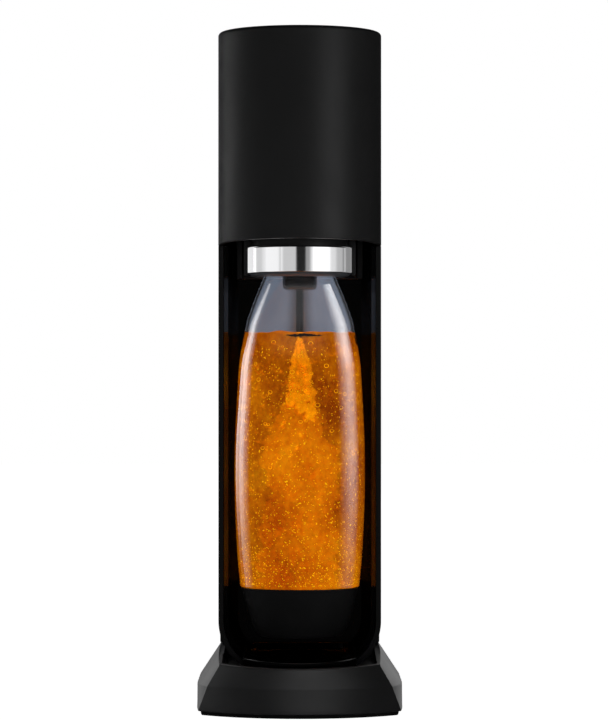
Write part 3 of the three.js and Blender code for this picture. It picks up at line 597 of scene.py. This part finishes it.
def skirt_section(height, half_width, front, rear, edge_x):
    """Outline of the plinth: the front arc ends in an edge, and a flank runs from there to the side."""
    centre = FRONT_RADIUS - front
    edge_y = centre - math.sqrt(FRONT_RADIUS ** 2 - edge_x ** 2)
    turn = math.degrees(math.asin(edge_x / FRONT_RADIUS))
    face = arc((0, centre), FRONT_RADIUS, -90 - turn, -90 + turn, 44)
    side = []
    steps = 12
    for i in range(1, steps + 1):
        t = i / steps
        start, pull, end = (1 - t) ** 2, 2 * t * (1 - t), t * t
        side.append((start * edge_x + (pull + end) * half_width, (start + pull * FLANK_PULL) * edge_y))
    side.append((half_width, SIDE_POINTS[-1]))
    return at_height(face + side + rear_outline(half_width, rear) + mirrored(side), height)


def skirt_at(height, inset=0.0):
    """The plinth's outline at a height: the front leans all the way, the sides only above the skirt."""
    lean = (height - BASE_BOTTOM) / (DECK_AT_AXIS - BASE_BOTTOM)
    up = max(0.0, (height - FLANK_TOP) / (DECK_AT_AXIS - FLANK_TOP))
    return skirt_section(
        height, BASE_HALF_WIDTH + (RIM_HALF_WIDTH - BASE_HALF_WIDTH) * up - inset,
        BASE_FRONT + (RIM_FRONT - BASE_FRONT) * lean - inset,
        BASE_REAR + (RIM_REAR - BASE_REAR) * up - inset,
        FOOT_EDGE_X + (RIM_EDGE_X - FOOT_EDGE_X) * lean - inset)


def make_plinth():
    """Shell of the base, with a sunk deck and openings for the column and the gas cylinder."""
    lip = 0.5
    floor = RECESS_DEPTH + BASE_WALL

    def rim(inset, lift):
        return skirt_section(lambda y: deck(y) + lift, RIM_HALF_WIDTH - inset, RIM_FRONT - inset,
                             RIM_REAR - inset, RIM_EDGE_X - inset)

    shell = loft("base_plinth", [
        skirt_at(BASE_BOTTOM, 0.7), skirt_at(BASE_BOTTOM + 0.2, 0.2), skirt_at(BASE_BOTTOM + 0.7),
        skirt_at(6.0), skirt_at(12.0), skirt_at(FLANK_TOP - 0.6), skirt_at(FLANK_TOP),
        skirt_at(FLANK_TOP + 0.8),
        rim(0, -lip - 0.7), rim(0, -lip), rim(0.15, -lip * 0.3), rim(lip, 0.0),
    ])
    hollow = loft("cutter", [
        skirt_at(BASE_BOTTOM - 4, BASE_WALL), skirt_at(FLANK_TOP, BASE_WALL),
        skirt_section(lambda y: deck(y) - floor, RIM_HALF_WIDTH, RIM_FRONT - 1, RIM_REAR, RIM_EDGE_X),
    ])
    recess = loft("cutter", [
        rim_ring(RIM_WIDTH + 1.5, lambda y: deck(y) - RECESS_DEPTH),
        rim_ring(RIM_WIDTH + 0.4, lambda y: deck(y) - RECESS_DEPTH + 0.5),
        rim_ring(RIM_WIDTH, lambda y: deck(y) - RECESS_DEPTH + 1.6),
        rim_ring(RIM_WIDTH, lambda y: deck(y) - 0.5), rim_ring(RIM_WIDTH - 0.5, deck),
        rim_ring(RIM_WIDTH - 0.6, 60),
    ])
    cut(recess, block((-90, COLUMN_BACK - 2, 0), (90, 200, 90)))
    column = column_block(-GAP, COLUMN_FRONT - GAP, COLUMN_BACK + GAP, 80)
    bay = bar("z", CYLINDER_RADIUS + 2, 0, 80, (0, CYLINDER_Y), 72)
    behind = block((-CYLINDER_RADIUS, COLUMN_BACK - 2, 18), (CYLINDER_RADIUS, CYLINDER_Y, 80))
    cut(shell, hollow, recess, column, bay, behind)
    done(shell, "base_plinth_shell", "machine", ["base_plinth"], BASE_PLASTIC, sharp=24)


def make_feet():
    """Dark rubber strips that follow the front and rear edges, a little inside them."""
    chamfer = 0.3
    for end, (y0, y1) in STRIP_ENDS.items():
        name = "foot_strip_" + end
        strip = loft("strip", [
            skirt_section(0.0, *[size - chamfer for size in STRIP_OUTSIDE]),
            skirt_section(chamfer, *STRIP_OUTSIDE), skirt_section(BASE_BOTTOM - 0.1, *STRIP_OUTSIDE)])
        inner = loft("cutter", [skirt_section(z, *STRIP_INSIDE) for z in (-3.0, 8.0)])
        keep = block((-90, y0, -2), (90, y1, 8))
        meet(cut(strip, inner), keep)
        done(strip, name + "_rubber", "machine", [name], RUBBER, sharp=40)


def tray_ring(inset, lift):
    """Round front between straight sides, following the deck at a height above it."""
    radius, side = TRAY_RADIUS - inset, TRAY_HALF_WIDTH - inset
    turn = math.degrees(math.acos(side / radius))
    rear, corner = BAY_DEPTH - 1 - inset, 6.0
    outline = arc((0, 0), radius, turn - 180, -turn, 48)
    front = -radius * math.sin(math.radians(turn))
    outline += [(side, front * 0.5), (side, 7.7), (side, rear - corner)]
    outline += arc((side - corner, rear - corner), corner, 0, 90, 8)[1:]
    outline += arc((corner - side, rear - corner), corner, 90, 180, 8)
    outline += [(-side, 7.7), (-side, front * 0.5)]
    return [(x, y, deck(y) + lift) for x, y in outline]


def make_tray():
    rim, floor, foot = 0.8, -4.5, GAP - RECESS_DEPTH
    dish = loft("drip_tray", [
        tray_ring(2.6, foot), tray_ring(0.7, foot + 0.4), tray_ring(0, foot + 1.8),
        tray_ring(0, rim - 0.7), tray_ring(0.25, rim - 0.2), tray_ring(0.8, rim),
        tray_ring(1.4, rim - 0.1), tray_ring(1.9, rim - 0.7), tray_ring(2.1, floor + 2.2),
        tray_ring(2.9, floor + 0.8), tray_ring(5.2, floor), tray_ring(20, floor - 0.3),
    ])
    sides = cut(column_block(-8, COLUMN_FRONT - GAP, 80, 90), bay_hollow(0.4))
    cut(dish, sides)
    done(dish, "drip_tray_dish", "drip_tray", ["drip_tray"], GLOSS_BLACK, sharp=40)


# ------------------------------------------------------------------ column
def make_column():
    walls = column_block(0, COLUMN_FRONT, COLUMN_BACK, COLUMN_TOP)
    front = column_block(COLUMN_WALL, COLUMN_FRONT - 5, BACK_WALL_FRONT, CLEAR)
    rear = column_block(COLUMN_WALL, BACK_WALL_REAR, COLUMN_BACK + 5, CLEAR)
    cylinder = bar("z", CYLINDER_RADIUS + 0.8, 0, 60, (0, CYLINDER_Y), 72)
    cut(walls, front, rear, cylinder)
    tower = block((-TOWER_HALF_WIDTH, BACK_WALL_FRONT, COLUMN_TOP - 8),
                  (TOWER_HALF_WIDTH, BACK_WALL_REAR, TOWER_TOP))
    join(walls, tower)
    for x, y in SCREW_PLACES:
        leg = bar("z", LEG_RADIUS, 5.5, 30, (x, y), 32)
        cut(leg, column_block(COLUMN_WALL - 0.1, -10, 60, 90), bar("z", LEG_BORE, 4, 15, (x, y), 16))
        join(walls, leg)
    (left, bottom), (right, top) = LEVER_SLOT
    near, far = BACK_WALL_FRONT - 5, BACK_WALL_REAR + 5
    slot = block((left, near, bottom), (right, far, top))
    holes = [bar("y", PLATE_BORE, near, far, place, 16) for place in PLATE_SCREW_PLACES]
    cut(walls, slot, *holes)
    done(walls, "column_walls", "machine", ["column_frame"], COLUMN_BLACK, edge=0.5)


def make_liner():
    outside = column_block(COLUMN_WALL + GAP, COLUMN_FRONT + 0.2, BACK_WALL_FRONT - GAP, COLUMN_TOP)
    cut(outside, bay_hollow(0))
    done(outside, "bay_lining", "machine", ["bay_liner"], GLOSS_BLACK, edge=0.25, sharp=24)


# ------------------------------------------------------------------ head and cover
def head_ring(inset, height):
    radius = HEAD_RADIUS - inset
    outline = arc((0, 0), radius, 180, 360, 72) + arc((0, REAR_CENTRE), radius, 0, 180, 72)
    return [(x, y, height) for x, y in outline]


def make_head():
    edge = [(HEAD_EDGE - d, z) for d, z in arc((0, HEAD_TOP - HEAD_EDGE), HEAD_EDGE, 0, 90, 8)]
    shell = loft("head_shell", [head_ring(0, 230)] + [head_ring(d, z) for d, z in edge])
    hollow = loft("cutter", [head_ring(HEAD_WALL, 100), head_ring(HEAD_WALL, HEAD_TOP - HEAD_WALL)])
    below = prism_across([
        (-80, 100), (COLUMN_BACK + GAP, 100), (COLUMN_BACK + GAP, HEAD_BOTTOM), (0, HEAD_BOTTOM),
        (-80, HEAD_BOTTOM + 80 * HEAD_FRONT_RISE)], -90, 90)
    behind = block((-90, COLUMN_BACK, 100), (90, 200, COVER_TOP + GAP))
    hole = bar("z", BUTTON_RADIUS + 0.5, HEAD_TOP - 10, CLEAR, (0, BUTTON_Y), 96)
    cut(shell, hollow, below, behind, hole)
    done(shell, "head_cover", "machine", ["head_shell"], MATTE_BLACK, edge=0.4)


def make_rear_cover():
    outer = loft("rear_cover", [head_ring(0, DECK_HEIGHT + GAP), head_ring(0, COVER_TOP)])
    inner = loft("cutter", [head_ring(COVER_WALL, 0), head_ring(COVER_WALL, CLEAR)])
    front = block((-90, -90, 0), (90, COLUMN_BACK + GAP, CLEAR))
    cut(outer, inner, front)
    done(outer, "rear_cover_shell", "rear_cover", ["rear_cover"], MATTE_BLACK, edge=0.4)


def make_button():
    top, r = HEAD_TOP - 0.6, BUTTON_RADIUS
    dish = [(0, top - 1.4), (8, top - 1.33), (14, top - 1.15), (r - 9, top - 0.8), (r - 5, top - 0.35)]
    rim = arc((r - 1.4, top - 1.4), 1.4, 90, 0, 8)
    under = [(r, top - 9), (r - 2, top - 9), (r - 2, top - 3.4), (3.4, top - 3.8)]
    under += [(3.4, 413.4), (0, 413.4)]
    cap = turned("button_cap", dish + rim + under, BUTTON_Y, 96)
    done(cap, "carbonating_button", "button", ["button_cap"], DARK_GREY, sharp=40)


# ------------------------------------------------------------------ collar
def make_housing():
    w = HOUSING_HALF_WIDTH
    shell = block((-w, 20, HOUSING_BOTTOM), (w, 41.2, HOUSING_TOP))
    join(shell, block((-w, 38, COLUMN_TOP + 1), (w, BACK_WALL_FRONT - GAP, HOUSING_TOP)))
    cut(shell, block((-w + HOUSING_WALL, 10, 270), (w - HOUSING_WALL, 38.6, 340)),
        prism_across([(10, 305), (22, 330), (10, 330)], -60, 60),
        bar("x", 3.4, -60, 60, (PIVOT_Y, PIVOT_Z)),
        *[bar("y", PLATE_BORE, 30, 60, place, 16) for place in PLATE_SCREW_PLACES[:2]])
    done(shell, "lock_yoke", "machine", ["lock_housing"], DARK_GREY, edge=0.6)


def make_carrier():
    w, r = CARRIER_HALF_WIDTH, CARRIER_CORNER
    plan = [(-w, -2), (w, -2)] + arc((w - r, 31), r, 0, 90, 10) + arc((r - w, 31), r, 90, 180, 10)
    body = loft("collar_carrier", [at_height(plan, z) for z in (CARRIER_BOTTOM, CARRIER_TOP)])
    for side in (-1, 1):
        start, end = sorted((side * (w - r), side * w))
        join(body, block((start, PIVOT_Y - 6, 290), (end, PIVOT_Y + 6, PIVOT_Z)),
             bar("x", 6, start, end, (PIVOT_Y, PIVOT_Z)))
    corners = []
    for side in (-1, 1):
        outline = [(side * (w - 2.6), 270), (side * (w + 1), 270), (side * (w + 1), 279.5)]
        corners.append(loft("cutter", [[(x, y, z) for x, z in outline] for y in (-10, 50)]))
    cut(body, bar("z", RING_RADIUS + GAP, 200, RING_TOP + GAP, (0, 0), 96),
        bar("z", 31.2, 200, 400, (0, 0), 96), bar("x", 3.3, -60, 60, (PIVOT_Y, PIVOT_Z)), *corners)
    done(body, "snap_lock_carrier", "bottle_holder", ["collar_carrier"],
         MATTE_BLACK, edge=0.5)


def make_collar():
    r = RING_RADIUS
    band = [(r - 1.9, RING_BOTTOM), (r - 0.6, RING_BOTTOM)]
    band += arc((r - 0.6, RING_BOTTOM + 0.6), 0.6, -60, 0, 5)
    band += [(r, RING_BOTTOM + 0.9), (r, RING_TOP - 1.2)]
    band += arc((r - 0.9, RING_TOP - 0.9), 0.9, 0, 90, 8) + [(r - 1.9, RING_TOP)]
    done(turned("ring", band, 0, 128), "chrome_band", "bottle_holder", ["collar_ring"], CHROME)
    lip = [(24.4, 275.4), (27.4, 274.5), (28.2, 274.5), (30.6, 275.2), (31.9, 276.1), (32.4, 276.9),
           (27, 276.9), (24.4, 276.6)]
    done(turned("lip", lip, 0, 96), "neck_guide", "bottle_holder", ["collar_lip"],
         LIP_GREY)
    core = [(23.4, 277.3), (30.9, 277.3), (30.9, 301), (8.6, 301), (8.6, 297), (23.4, 297)]
    done(turned("core", core, 0, 96), "collar_sleeve", "bottle_holder", ["collar_core"],
         MATTE_BLACK, sharp=30)


def make_nozzle():
    profile = [(0, 266.5), (7.6, 266.5)] + arc((8.2, 269.3), 2.8, -90, -20, 6) + [(11, 271), (11, 290)]
    profile += [(8.3, 292), (8.3, 304), (3, 305), (0, 305)]
    done(turned("nozzle", profile, 0, 64), "nozzle_body", "bottle_holder", ["nozzle_head"],
         NOZZLE_GREY, sharp=30)
    tube = [(1.2, 236), (2.2, 236), (2.4, 236.3), (2.4, 266.2), (1.2, 266.2)]
    done(turned("tube", tube, 0, 32), "gas_lance", "bottle_holder", ["carbonation_tube"],
         MATTE_BLACK, sharp=40)


# ------------------------------------------------------------------ bottle
BOTTLE_CURVE = BOTTLE_FOOT + smooth_curve(BOTTLE_SIDE, 8)


def inner_radius(height):
    """Radius of the bottle's hollow at a height."""
    profile = [(r - BOTTLE_WALL, z) for r, z in BOTTLE_CURVE]
    for (r0, z0), (r1, z1) in zip(profile, profile[1:]):
        if z0 <= height <= z1:
            return r0 + (r1 - r0) * (height - z0) / (z1 - z0)
    return profile[0][0]


def make_bottle():
    neck_top = 293.0
    neck = [(21.2, 276.4), (20.6, 278), (20.6, 281.5), (21.6, 281.8), (22.4, 282.6), (22.4, 284.3),
            (21.6, 285.1), (20.6, 285.4), (20.6, neck_top - 0.6), (20, neck_top)]
    inside = [(r - BOTTLE_WALL, z) for r, z in BOTTLE_CURVE[1:]]
    inside.reverse()
    profile = [(0, 51.6)] + BOTTLE_CURVE + neck + [(18.6, neck_top), (18.4, 278.4)] + inside
    vessel = turned("vessel", profile + [(22, 53.4), (0, 53.4)], 0, 128)
    done(vessel, "bottle_glass", "bottle", ["bottle_vessel"], CLEAR_PLASTIC, sharp=50)


def make_cup():
    low = CUP_BOTTOM
    side = smooth_curve([
        (27.3, low + 1.8), (29.1, low + 4.4), (31.5, low + 9.4), (33.8, low + 17),
        (35.3, low + 22.2), (37, low + 30.4)], 6)
    outside = [(0, low + 1.2), (18, low + 1.2), (20.4, low + 0.3), (21, low),
               (24.6, low), (26.2, low + 0.6)] + side
    outside += [(37.45, CUP_TOP - 0.9), (37.5, CUP_TOP - 0.5), (37.3, CUP_TOP - 0.1), (37.0, CUP_TOP)]
    inside = [(r + 0.4, z - 0.2) for r, z in reversed(BOTTLE_FOOT)]
    cup = turned("cup", outside + inside + [(0, 51.2)], 0, 128)
    done(cup, "bottle_foot_cup", "bottle", ["bottle_base_cup"], CUP_PLASTIC, sharp=50)


def make_drink():
    """The drink fills the bottle and just wets its wall, with a stirred surface."""
    foot, wet = 54.0, 0.06
    heights = [foot + (DRINK_LEVEL - foot) * i / 60 for i in range(61)]
    profile = [(0, foot - 0.1), (21.0, foot - 0.1)]
    profile += [(inner_radius(max(z, foot + 3)) + wet, z) for z in heights]
    for k in range(1, 9):
        radius = inner_radius(DRINK_LEVEL) * (1 - k / 9)
        profile.append((radius, DRINK_LEVEL - 1.2 * math.sin(math.pi * k / 9)))
    profile.append((0, DRINK_LEVEL - 4.0))
    body = turned("drink", profile, 0, 128)
    for vertex in body.data.vertices:
        if vertex.co.z > (DRINK_LEVEL - 8) * MM:
            ripple = noise(vertex.co * 90) * 1.6 * MM
            vertex.co.z += ripple
    done(body, "orange_drink", "bottle", [], DRINK, sharp=60)


def on_wall(height, angle, sink):
    """A place on the inside of the bottle's wall, and the way out from it."""
    reach = inner_radius(height) - sink
    out = Vector((math.cos(angle), math.sin(angle), 0))
    return out * reach + Vector((0, 0, height)), out


def speck_shape():
    """Corners and sides of one small faceted ball."""
    seed = bmesh.new()
    bmesh.ops.create_icosphere(seed, subdivisions=1, radius=1.0)
    corners = [vertex.co.copy() for vertex in seed.verts]
    sides = [tuple(vertex.index for vertex in face.verts) for face in seed.faces]
    seed.free()
    return corners, sides


def make_specks(name, material, count, place, sizes, longest):
    """Tiny bubbles at places drawn by a function, some of them drawn out to one side."""
    corners, sides = speck_shape()
    vertices, faces = [], []
    for _ in range(count):
        spot, side = place()
        radius = random.uniform(*sizes) * (1.5 if random.random() < 0.06 else 1.0)
        lean = random.uniform(0, math.pi)
        long_way = side * math.cos(lean) + Vector((0, 0, math.sin(lean)))
        stretch = random.uniform(0.0, longest)
        start = len(vertices)
        for corner in corners:
            point = (corner + long_way * corner.dot(long_way) * stretch) * radius + spot
            vertices.append((point.x, point.y, point.z))
        faces.extend(tuple(start + i for i in face) for face in sides)
    done(solid(name, vertices, faces), name, "bottle", [], material, sharp=180)


def near_wall():
    """Against the wall, thicker towards the foot."""
    spot, out = on_wall(80 + 150 * random.random() ** 1.45, random.uniform(0, 2 * math.pi), 0.1)
    return spot, out.cross(Vector((0, 0, 1)))


def round_jet():
    """In the ragged sleeve round the jet, which widens downwards."""
    depth = random.random()
    angle = random.uniform(0, 2 * math.pi)
    reach = (1.0 + 8.5 * depth ** 0.8) * random.uniform(0.75, 1.3)
    out = Vector((math.cos(angle), math.sin(angle), 0))
    return out * reach + Vector((0, 0, 234 - 70 * depth)), out.cross(Vector((0, 0, 1)))


def make_bubbles():
    """Larger bubbles cling to the wall and show as rings, made bright by a painted glow."""
    vertices, faces = [], []
    around, across = 20, 6
    for _ in range(150):
        height = 150 + 84 * random.random() ** 0.7
        spot, out = on_wall(height, random.uniform(0, 2 * math.pi), 0.1)
        side = out.cross(Vector((0, 0, 1)))
        radius = random.uniform(0.5, 1.5)
        start = len(vertices)
        for i in range(around):
            a = 2 * math.pi * i / around
            spoke = side * math.cos(a) + Vector((0, 0, math.sin(a) * 0.8))
            thick = 0.10 + 0.16 * radius * (0.6 - 0.4 * math.sin(a))
            for j in range(across):
                b = 2 * math.pi * j / across
                offset = spoke * (radius + thick * math.cos(b)) + out * (thick * math.sin(b))
                point = spot + offset
                vertices.append((point.x, point.y, point.z))
        for i in range(around):
            for j in range(across):
                a, b = start + i * across, start + ((i + 1) % around) * across
                k = (j + 1) % across
                faces.append((a + j, b + j, b + k, a + k))
    done(solid("bubbles", vertices, faces), "drink_bubbles", "bottle", [], BUBBLE, sharp=180)


def make_plume(name, material, top, bottom, widths, rough, seed):
    """Cone of gas with a ragged side, from under the lance downwards."""
    rows, segments = 60, 72
    rings = []
    for row in range(rows):
        t = row / (rows - 1)
        z = top - (top - bottom) * t
        span = t * (len(widths) - 1)
        k = min(int(span), len(widths) - 2)
        radius = widths[k] + (widths[k + 1] - widths[k]) * (span - k)
        ring = []
        for i in range(segments):
            angle = 2 * math.pi * i / segments
            x, y = math.cos(angle), math.sin(angle)
            wobble = noise(Vector((x * 1.6, y * 1.6, z * 0.11 + seed)))
            wobble += 0.6 * noise(Vector((x * 4, y * 4, z * 0.3 + seed)))
            wobble += 0.3 * noise(Vector((x * 9, y * 9, z * 0.7 + seed)))
            reach = radius * (1 + rough * wobble)
            ring.append((x * reach, y * reach, z))
        rings.append(ring)
    done(loft(name, rings), name, "bottle", [], material, sharp=180)


def make_hollow_shade():
    """Dark ragged sheet of painted shade against the front wall, where the hollow that the gas stirs into
    the surface shows dark.
    """
    steps, across = 56, 6
    rings = []
    for i in range(steps + 1):
        t = i / steps
        angle = math.radians(-105 + 40 * t)
        out = Vector((math.cos(angle), math.sin(angle), 0))
        swell = math.sin(math.pi * t) ** 0.6 * (1 + 0.9 * noise(Vector((t * 14, 0, 3))))
        tall = 0.1 + 1.25 * swell
        height = 237.0 + 0.6 * noise(Vector((t * 9, 5, 0)))
        reach = inner_radius(height) - 0.5
        ring = []
        for j in range(across):
            a = 2 * math.pi * j / across
            up = Vector((0, 0, height + tall * math.sin(a)))
            ring.append(out * (reach + 0.75 * math.cos(a)) + up)
        rings.append(ring)
    done(loft("stir", rings), "stirred_hollow", "bottle", [], HOLLOW_SHADE, sharp=180)


# ------------------------------------------------------------------ studio
def make_floor():
    size, steps = 14.0, 24
    mesh = bpy.data.meshes.new("floor")
    spots = [(size * (i / steps - 0.5), size * (j / steps - 0.5), 0)
             for j in range(steps + 1) for i in range(steps + 1)]
    mesh.from_pydata(spots, [], grid_faces(steps, steps))
    floor = bpy.data.objects.new("floor", mesh)
    bpy.context.scene.collection.objects.link(floor)
    material, nodes, links, principled, place = shader("pale_floor")
    soft = noise_at(nodes, links, place, 3, 2)
    tint = ramp(nodes, links, soft, (0.84, 0.84, 0.84), (0.87, 0.87, 0.87))
    links.new(tint, principled.inputs["Base Color"])
    principled.inputs["Roughness"].default_value = 0.85
    principled.inputs["Specular IOR Level"].default_value = 0.0
    principled.inputs["Emission Color"].default_value = (1, 1, 1, 1)
    principled.inputs["Emission Strength"].default_value = 1.0
    floor.data.materials.append(material)
    floor.visible_glossy = False
    floor.visible_transmission = False


# Soft boxes round the object: the group of pieces that each one lights, then in
# degrees the side it starts and ends at (0 in front, positive to the right) and
# how soft those ends are, the same for its lower and upper ends, and its
# brightness.
SOFT_BOXES = [
    ("body", -165, -128, 6, -4.0, 12.0, 2.0, 0.14),
    ("body", -128, -106, 7, -4.5, 12.0, 2.5, 1.6),
    ("body", -106, -62, 14, -4.5, 12.0, 2.5, 0.45),
    ("body", -50, 30, 14, -4.5, 12.0, 2.5, 0.28),
    ("body", 34, 60, 12, -2.0, 14.0, 3.0, 3.4),
    ("body", 88, 112, 12, -3.5, 11.0, 3.0, 0.16),
    ("body", 168, 180, 4, -3.5, 11.0, 3.0, 0.25),
    ("base", -165, -80, 14, 12.0, 60.0, 6.0, 1.6),
    ("base", -8, 34, 12, 18.0, 50.0, 8.0, 2.1),
    ("base", 132, 172, 8, 8.0, 60.0, 6.0, 1.5),
    ("base", -165, -112, 10, -30.0, 12.0, 6.0, 0.7),
    ("base", 130, 168, 10, -30.0, 8.0, 6.0, 0.8),
    ("body", -60, 60, 20, 60.0, 85.0, 5.0, 0.5),
    ("gloss", -60, 60, 20, 60.0, 85.0, 5.0, 0.5),
    ("gloss", -150, -84, 12, 18.0, 55.0, 6.0, 0.8),
    ("gloss", 84, 150, 12, 18.0, 55.0, 6.0, 0.8),
    ("bottle", -136, -108, 9, 8.0, 62.0, 6.0, 4.0),
    ("bottle", -136, -108, 9, -5.0, 8.0, 6.0, 2.4),
    ("bottle", -136, -108, 9, -24.0, -5.0, 6.0, 0.8),
    ("bottle", 88, 116, 15, 8.0, 62.0, 6.0, 10.0),
    ("bottle", 88, 116, 15, -5.0, 8.0, 6.0, 4.6),
    ("bottle", 88, 116, 15, -24.0, -5.0, 6.0, 0.8),
    ("bottle", -60, 60, 25, 25.0, 70.0, 12.0, 0.7),
    ("band", -180, -110, 4, -60.0, 70.0, 4.0, 0.95),
    ("band", -110, -86, 6, -60.0, 70.0, 4.0, 0.72),
    ("band", -86, -42, 8, -60.0, 70.0, 4.0, 1.1),
    ("band", -42, -8, 2, -60.0, 70.0, 4.0, 0.68),
    ("band", 13, 26, 2, -60.0, 70.0, 4.0, 0.35),
    ("band", 26, 70, 6, -60.0, 70.0, 4.0, 1.4),
    ("band", 70, 88, 6, -60.0, 70.0, 4.0, 0.85),
    ("band", 88, 110, 6, -60.0, 70.0, 4.0, 0.55),
    ("band", 110, 180, 6, -60.0, 70.0, 4.0, 0.27),
]
LIT_APART = {
    "bottle": ["bottle_glass", "orange_drink"],
    "band": ["chrome_band"],
    "gloss": ["bay_lining", "drip_tray_dish"],
    "base": ["base_plinth_shell"],
}
# Upright panels just in front of the column, beside what they light: the two sides,
# how far in front, lower and upper edge, the depth of the soft edges, brightness.
NEAR_PANELS = [
    ("band", -60.0, -33.3, -2.3, 262.0, 308.0, 2.0, 0.95),
    ("band", 33.3, 60.0, -2.3, 262.0, 308.0, 2.0, 0.30),
    ("bottle", -70.0, -43.5, -2.8, 170.0, 290.0, 100.0, 3.6),
]
BOX_DISTANCE = 4000.0
BOX_CENTRE_Z = 200.0


def lit_groups():
    """Collections of the pieces lit apart, and of all the rest, for the lights to be linked to."""
    apart = [name for names in LIT_APART.values() for name in names]
    groups = {"body": bpy.data.collections.new("lit_body")}
    for piece in bpy.context.scene.objects:
        if piece.name not in apart:
            groups["body"].objects.link(piece)
    for group, names in LIT_APART.items():
        groups[group] = bpy.data.collections.new("lit_" + group)
        for name in names:
            groups[group].objects.link(bpy.data.objects[name])
    return groups


def soft_edge(value, start, end, softness):
    """1 between start and end, falling smoothly to 0 across both of them."""
    rise = min(1.0, max(0.0, (value - start + softness) / (2 * softness)))
    fall = min(1.0, max(0.0, (end + softness - value) / (2 * softness)))
    return rise * rise * (3 - 2 * rise) * fall * fall * (3 - 2 * fall)


def make_panel(lit, columns, vertices, glow, strength):
    """A sheet of soft light on a grid of points, seen only by the pieces it lights."""
    rows = len(vertices) // (columns + 1) - 1
    panel = solid("soft_box", vertices, grid_faces(columns, rows))
    panel.data.attributes.new("glow", "FLOAT", "POINT").data.foreach_set("value", glow)
    material, nodes, links, principled, _ = shader("soft_box")
    shape = nodes.new("ShaderNodeAttribute")
    shape.attribute_name = "glow"
    lamp = nodes.new("ShaderNodeEmission")
    links.new(spread(nodes, links, shape.outputs["Fac"], 0.0, strength, 0.0, 1.0), lamp.inputs["Strength"])
    clear = nodes.new("ShaderNodeBsdfTransparent")
    both = nodes.new("ShaderNodeAddShader")
    links.new(lamp.outputs["Emission"], both.inputs[0])
    links.new(clear.outputs["BSDF"], both.inputs[1])
    links.new(both.outputs["Shader"], nodes["Material Output"].inputs["Surface"])
    nodes.remove(principled)
    panel.data.materials.append(material)
    panel.visible_camera = False
    panel.visible_shadow = False
    panel.visible_transmission = False
    panel.light_linking.receiver_collection = lit


def make_soft_box(lit, left, right, soft, bottom, top, fade, strength):
    """A patch of a far sphere, between two sides and two heights given as angles."""
    columns, rows = 28, 20
    vertices, glow = [], []
    for j in range(rows + 1):
        up = bottom - fade + (top - bottom + 2 * fade) * j / rows
        across = BOX_DISTANCE * math.cos(math.radians(up))
        height = BOX_DISTANCE * math.sin(math.radians(up)) + BOX_CENTRE_Z
        for i in range(columns + 1):
            side = left - soft + (right - left + 2 * soft) * i / columns
            turn = math.radians(side)
            vertices.append((across * math.sin(turn), -across * math.cos(turn), height))
            glow.append(soft_edge(side, left, right, soft) * soft_edge(up, bottom, top, fade))
    make_panel(lit, columns, vertices, glow, strength)


def make_near_panel(lit, left, right, front, bottom, top, fade, strength):
    """An upright sheet with soft lower and upper edges."""
    columns, rows = 4, 24
    vertices, glow = [], []
    for j in range(rows + 1):
        z = bottom - fade + (top - bottom + 2 * fade) * j / rows
        for i in range(columns + 1):
            vertices.append((left + (right - left) * i / columns, front, z))
            glow.append(soft_edge(z, bottom, top, fade))
    make_panel(lit, columns, vertices, glow, strength)


def make_studio():
    """Soft boxes and near panels in a dim room, with white behind the object for the camera."""
    world = bpy.data.worlds.new("studio")
    bpy.context.scene.world = world
    world.use_nodes = True
    nodes, links = world.node_tree.nodes, world.node_tree.links
    nodes.clear()
    dim = nodes.new("ShaderNodeBackground")
    dim.inputs["Color"].default_value = (0.02, 0.02, 0.02, 1)
    white = nodes.new("ShaderNodeBackground")
    white.inputs["Color"].default_value = (1, 1, 1, 1)
    seen = nodes.new("ShaderNodeLightPath")
    mix = nodes.new("ShaderNodeMixShader")
    links.new(seen.outputs["Is Camera Ray"], mix.inputs["Fac"])
    links.new(dim.outputs["Background"], mix.inputs[1])
    links.new(white.outputs["Background"], mix.inputs[2])
    out = nodes.new("ShaderNodeOutputWorld")
    links.new(mix.outputs["Shader"], out.inputs["Surface"])
    groups = lit_groups()
    for group, *box in SOFT_BOXES:
        make_soft_box(groups[group], *box)
    for group, *panel in NEAR_PANELS:
        make_near_panel(groups[group], *panel)


def make_camera():
    lens = bpy.data.cameras.new("camera")
    camera = bpy.data.objects.new("camera", lens)
    bpy.context.scene.collection.objects.link(camera)
    lens.sensor_width = 36.0
    lens.lens = 169.0
    lens.shift_x = 0.0059
    lens.shift_y = 0.0417
    lens.clip_end = 100.0
    camera.location = (0, AXIS_Y * MM - CAMERA_AWAY, CAMERA_HEIGHT)
    camera.rotation_euler = (math.pi / 2, 0, 0)
    bpy.context.scene.camera = camera
    bpy.context.scene.view_settings.view_transform = "Standard"


make_camera()
paint_cad_nodes()
make_plinth()
make_feet()
make_tray()
make_column()
make_liner()
make_head()
make_rear_cover()
make_button()
make_housing()
make_carrier()
make_collar()
make_nozzle()
make_bottle()
make_cup()
make_drink()
make_plume("gas_jet", JET, 236, 158, (0.6, 2.4, 4.2, 5.8, 7.0, 7.6, 7.6, 6.4, 3.0), 0.75, 0.0)
make_plume("gas_cloud", CLOUD, 205, 62, (3, 10, 14, 16, 17, 18, 18, 17, 12), 0.6, 7.0)
make_hollow_shade()
make_specks("drink_specks", SPECK, 6500, near_wall, (0.15, 0.34), 1.4)
make_specks("jet_specks", JET, 1600, round_jet, (0.2, 0.6), 0.8)
make_bubbles()
make_floor()
make_studio()
